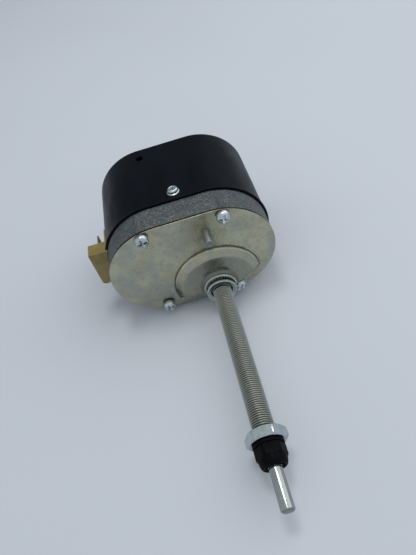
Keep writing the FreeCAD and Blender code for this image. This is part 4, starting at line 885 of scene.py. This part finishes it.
def build_thread(name, front, back, segments=72):
    """A helical thread between two planes, running out at both ends."""
    verts, rows = [], []
    turns = int((back - front) / PITCH)
    for turn in range(turns):
        for share, height in THREAD:
            row = []
            for i in range(segments + 1):
                part = turn + share + i / segments
                fade = clamp(part / 1.2) * clamp((turns - part) / 1.2)
                r = ROOT_R + (CREST_R - ROOT_R) * height * fade - 0.12 * (1 - fade)
                a = 2 * math.pi * i / segments
                row.append(len(verts))
                verts.append((r * math.cos(a), min(front + part * PITCH, back), r * math.sin(a)))
            rows.append(row)
    return make_object(name, verts, strips(rows, False), 80)


def build_tube():
    """A smooth core with a collar behind the plate, and the thread around it."""
    core = rounded([(4.4, -118.5), (5.15, -118.5), (5.2, -10.7), (5.95, -10.5), (TUBE_R, -10.0),
                    (TUBE_R, -3.25), (7.0, -3.2), (7.0, -2.2), (4.4, -2.2)], 3)
    tube = lathe("tube_core", core, 72, closed=True)
    return merge("spindle_tube_threaded", [tube, build_thread("thread", -118.45, -10.3)])


piece(build_tube(), THREAD_STEEL, "frame", "grey_steel", "spindle_tube")

washer = rounded([(6.05, WASHER_FRONT), (WASHER_R, WASHER_FRONT, 0.3), (WASHER_R, WASHER_BACK, 0.3),
                  (6.05, WASHER_BACK)], 4)
piece(lathe("plain_washer_stamped", washer, 120, closed=True), WASHER, "frame", "bright_zinc", "plain_washer")

TEETH, TOOTH_SHARE, TOOTH_LEAN = 32, 0.62, 1.9
LOCK_FRONT, LOCK_BACK = -9.3, -8.6


def tooth_profile(a):
    """The lock washer's section: a flat ring, and twisted teeth around it."""
    share = (a * TEETH / (2 * math.pi)) % 1.0
    if share > TOOTH_SHARE:
        rim = [(8.6, LOCK_FRONT + 0.05), (8.6, LOCK_BACK - 0.05)]
    else:
        lean = (share / TOOTH_SHARE - 0.5) * TOOTH_LEAN
        rim = [(10.0, LOCK_FRONT + 0.02 + lean), (10.0, LOCK_BACK - 0.02 + lean)]
    return [(6.3, LOCK_FRONT), (8.4, LOCK_FRONT), *rim, (8.4, LOCK_BACK), (6.3, LOCK_BACK)]


# The lock washer's very dark steel is partly painted shade: it lies in shadow between the plain washer and
# the front ring.
piece(polar("tooth_lock_washer_stamped", tooth_profile, TEETH * 12, angle=28), DARK, "frame", "dark_steel",
      "tooth_lock_washer")

ring_profile = rounded([(7.05, -10.3), (7.05, -11.1, 0.1), (9.0, -11.68, 0.2), (9.5, -11.7, 0.15),
                        (9.8, -11.35, 0.2), (9.8, -10.3, 0.15)], 4)
piece(lathe("front_ring_turned", ring_profile, 120, closed=True), BRIGHT_ZINC, "frame", "bright_zinc",
      "front_ring")

NUT_FRONT, NUT_BACK = -113.6, -107.8
NUT_HALF, NUT_FACE_R, NUT_TURN = 9.8, 9.6, 7


def nut_profile(a):
    """The nut's section: a hexagon with its corners turned off towards both faces."""
    edge = hex_radius(a, NUT_HALF, NUT_TURN)
    cut = max(edge - NUT_FACE_R, 0.02) * 0.56
    return [(TUBE_R, NUT_FRONT + 0.7), (6.7, NUT_FRONT), (9.3, NUT_FRONT), (NUT_FACE_R, NUT_FRONT),
            (edge, NUT_FRONT + cut), (edge, NUT_BACK - cut), (NUT_FACE_R, NUT_BACK), (6.7, NUT_BACK),
            (TUBE_R, NUT_BACK - 0.7)]


nut = polar("spindle_nut_hex", nut_profile, 180)
soften(nut, 0.16, 3, 25)
piece(nut, NUT_ZINC, "frame", "bright_zinc", "spindle_nut")

seal_ring = rounded([(6.05, -115.38), (8.3, -115.38, 0.45), (8.3, -113.62, 0.3), (6.05, -113.62)], 4)
piece(lathe("nut_seal_ring_moulded", seal_ring, 96, closed=True), RUBBER, "frame", "black_rubber",
      "nut_seal_ring")

CAP_HALF, CAP_TURN = 7.5, 53
# The cap's outer form from its mouth to its back: (radius, y)
CAP_FORM = ((5.25, -125.55), (5.6, -125.6), (6.1, -125.55), (6.5, -125.2), (6.85, -124.6), (7.15, -123.6),
            (7.35, -122.4), (7.45, -121.6), (7.9, -121.2), (8.2, -120.8), (8.2, -116.0), (8.05, -115.6),
            (7.75, -115.42))


def cap_profile(a):
    """The cap's section: its round form cut by a hexagon, and the mouth around the shaft."""
    flat = hex_radius(a, CAP_HALF, CAP_TURN)
    out = [(5.85, -120.5), (5.85, -115.42)]
    out += [(min(r, flat - 0.12 * (r < 7.45 or y > -115.8)), y) for r, y in reversed(CAP_FORM)]
    return out + [(5.0, -125.3), (4.6, -124.6), (4.2, -124.0), (3.56, -123.9), (3.56, -120.5)]


piece(polar("seal_cap_moulded", cap_profile, 180, angle=24), RUBBER, "frame", "black_rubber", "seal_cap")

GROOVE_FRONT, GROOVE_BACK, GROOVE_R = -126.4, -125.5, 3.27
shaft_profile = rounded([(0, SHAFT_END), (2.8, SHAFT_END, 0.1), (SHAFT_R, SHAFT_END + 0.7, 0.2),
                         (SHAFT_R, GROOVE_FRONT), (GROOVE_R, GROOVE_FRONT + 0.1),
                         (GROOVE_R, GROOVE_BACK - 0.1), (SHAFT_R, GROOVE_BACK), (SHAFT_R, 1.1), (0, 1.1)], 3)
piece(lathe("output_shaft_ground", shaft_profile, 72), SHAFT, "output", "bright_steel", "output_shaft")


# ---------------------------------------------------------------- studio

CAMERA_AT = (-1.07, -206.85, 236.15)
CAMERA_AZIMUTH, CAMERA_ELEVATION, CAMERA_ROLL = 1.446, 48.32, -17.665
CAMERA_LENS = 31.217
FLOOR_HALF = 3.0


def look_from(eye, azimuth, elevation, roll):
    """Axes of a camera: azimuth 0 looks along +Y, elevation is above the horizon, in degrees."""
    az, el = math.radians(azimuth), math.radians(elevation)
    back = Vector((math.sin(az) * math.cos(el), -math.cos(az) * math.cos(el), math.sin(el)))
    side = (-back).cross(Vector((0, 0, 1))).normalized()
    up = side.cross(-back)
    matrix = Matrix((side, up, back)).transposed().to_4x4()
    return Matrix.Translation(eye) @ matrix @ Matrix.Rotation(math.radians(roll), 4, "Z")


camera_data = bpy.data.cameras.new("camera")
camera_data.sensor_fit = "VERTICAL"
camera_data.sensor_height = 36.0
camera_data.lens = CAMERA_LENS
camera_data.clip_start, camera_data.clip_end = 0.005, 20.0
camera = bpy.data.objects.new("camera", camera_data)
bpy.context.scene.collection.objects.link(camera)
eye_point = Vector(place(*CAMERA_AT))
camera.matrix_world = look_from(eye_point, CAMERA_AZIMUTH, CAMERA_ELEVATION, CAMERA_ROLL)
bpy.context.scene.camera = camera


def stage_plane(name, half, height, material):
    """A square sheet under the part."""
    mesh = bpy.data.meshes.new(name)
    corners = [(sx * half, sy * half, height) for sx, sy in ((-1, -1), (1, -1), (1, 1), (-1, 1))]
    mesh.from_pydata(corners, [], [(0, 1, 2, 3)])
    mesh.materials.append(material)
    obj = bpy.data.objects.new(name, mesh)
    bpy.context.scene.collection.objects.link(obj)
    return obj


def area_light(name, eye, target, size, watts, color):
    """A soft light at eye that shines at target."""
    data = bpy.data.lights.new(name, "AREA")
    data.shape = "RECTANGLE"
    data.size, data.size_y = size
    data.energy = watts
    data.color = color
    obj = bpy.data.objects.new(name, data)
    obj.location = eye
    obj.rotation_euler = (Vector(target) - Vector(eye)).to_track_quat("-Z", "Y").to_euler()
    bpy.context.scene.collection.objects.link(obj)
    return obj


paper = Paint("paper_sweep", (0.61, 0.645, 0.695), 0.7)
paper.tint(paper.noise(300, 2), (0.59, 0.625, 0.675), 0.4, 0.6, 0.6)
paper.bump(paper.noise(0.6, 3), 0.01)
stage_plane("floor", FLOOR_HALF, min(CAD_BOX[0].z, CAD_BOX[1].z) - 0.0001, paper.done())

area_light("lamp", (0.0, 0.16, 1.0), (0, 0, 0), (0.24, 0.24), 2.0, (0.99, 1.0, 1.0))
area_light("softbox", (0.9, 0.5, 1.1), (0, 0, 0.02), (1.6, 1.6), 7.5, (0.97, 0.99, 1.0))


def studio_world(front, behind, strength, start, end):
    """Light from all round, in one colour before the part and another behind it.

    It turns from one to the other where the direction's Y goes from start to end.
    """
    world = bpy.data.worlds.new("studio")
    world.use_nodes = True
    nodes, links = world.node_tree.nodes, world.node_tree.links
    parts = nodes.new("ShaderNodeSeparateXYZ")
    links.new(nodes.new("ShaderNodeTexCoord").outputs["Generated"], parts.inputs[0])
    share = nodes.new("ShaderNodeMapRange")
    share.inputs["From Min"].default_value = start
    share.inputs["From Max"].default_value = end
    links.new(parts.outputs["Y"], share.inputs["Value"])
    sky = nodes.new("ShaderNodeMix")
    sky.data_type = "RGBA"
    sky.inputs["A"].default_value = (*front, 1)
    sky.inputs["B"].default_value = (*behind, 1)
    links.new(share.outputs["Result"], sky.inputs["Factor"])
    links.new(sky.outputs["Result"], nodes["Background"].inputs["Color"])
    nodes["Background"].inputs["Strength"].default_value = strength
    return world


bpy.context.scene.world = studio_world((0.91, 0.95, 1.0), (0.30, 0.33, 0.37), 0.66, 0.2, 0.65)
bpy.context.scene.view_settings.view_transform = "Standard"
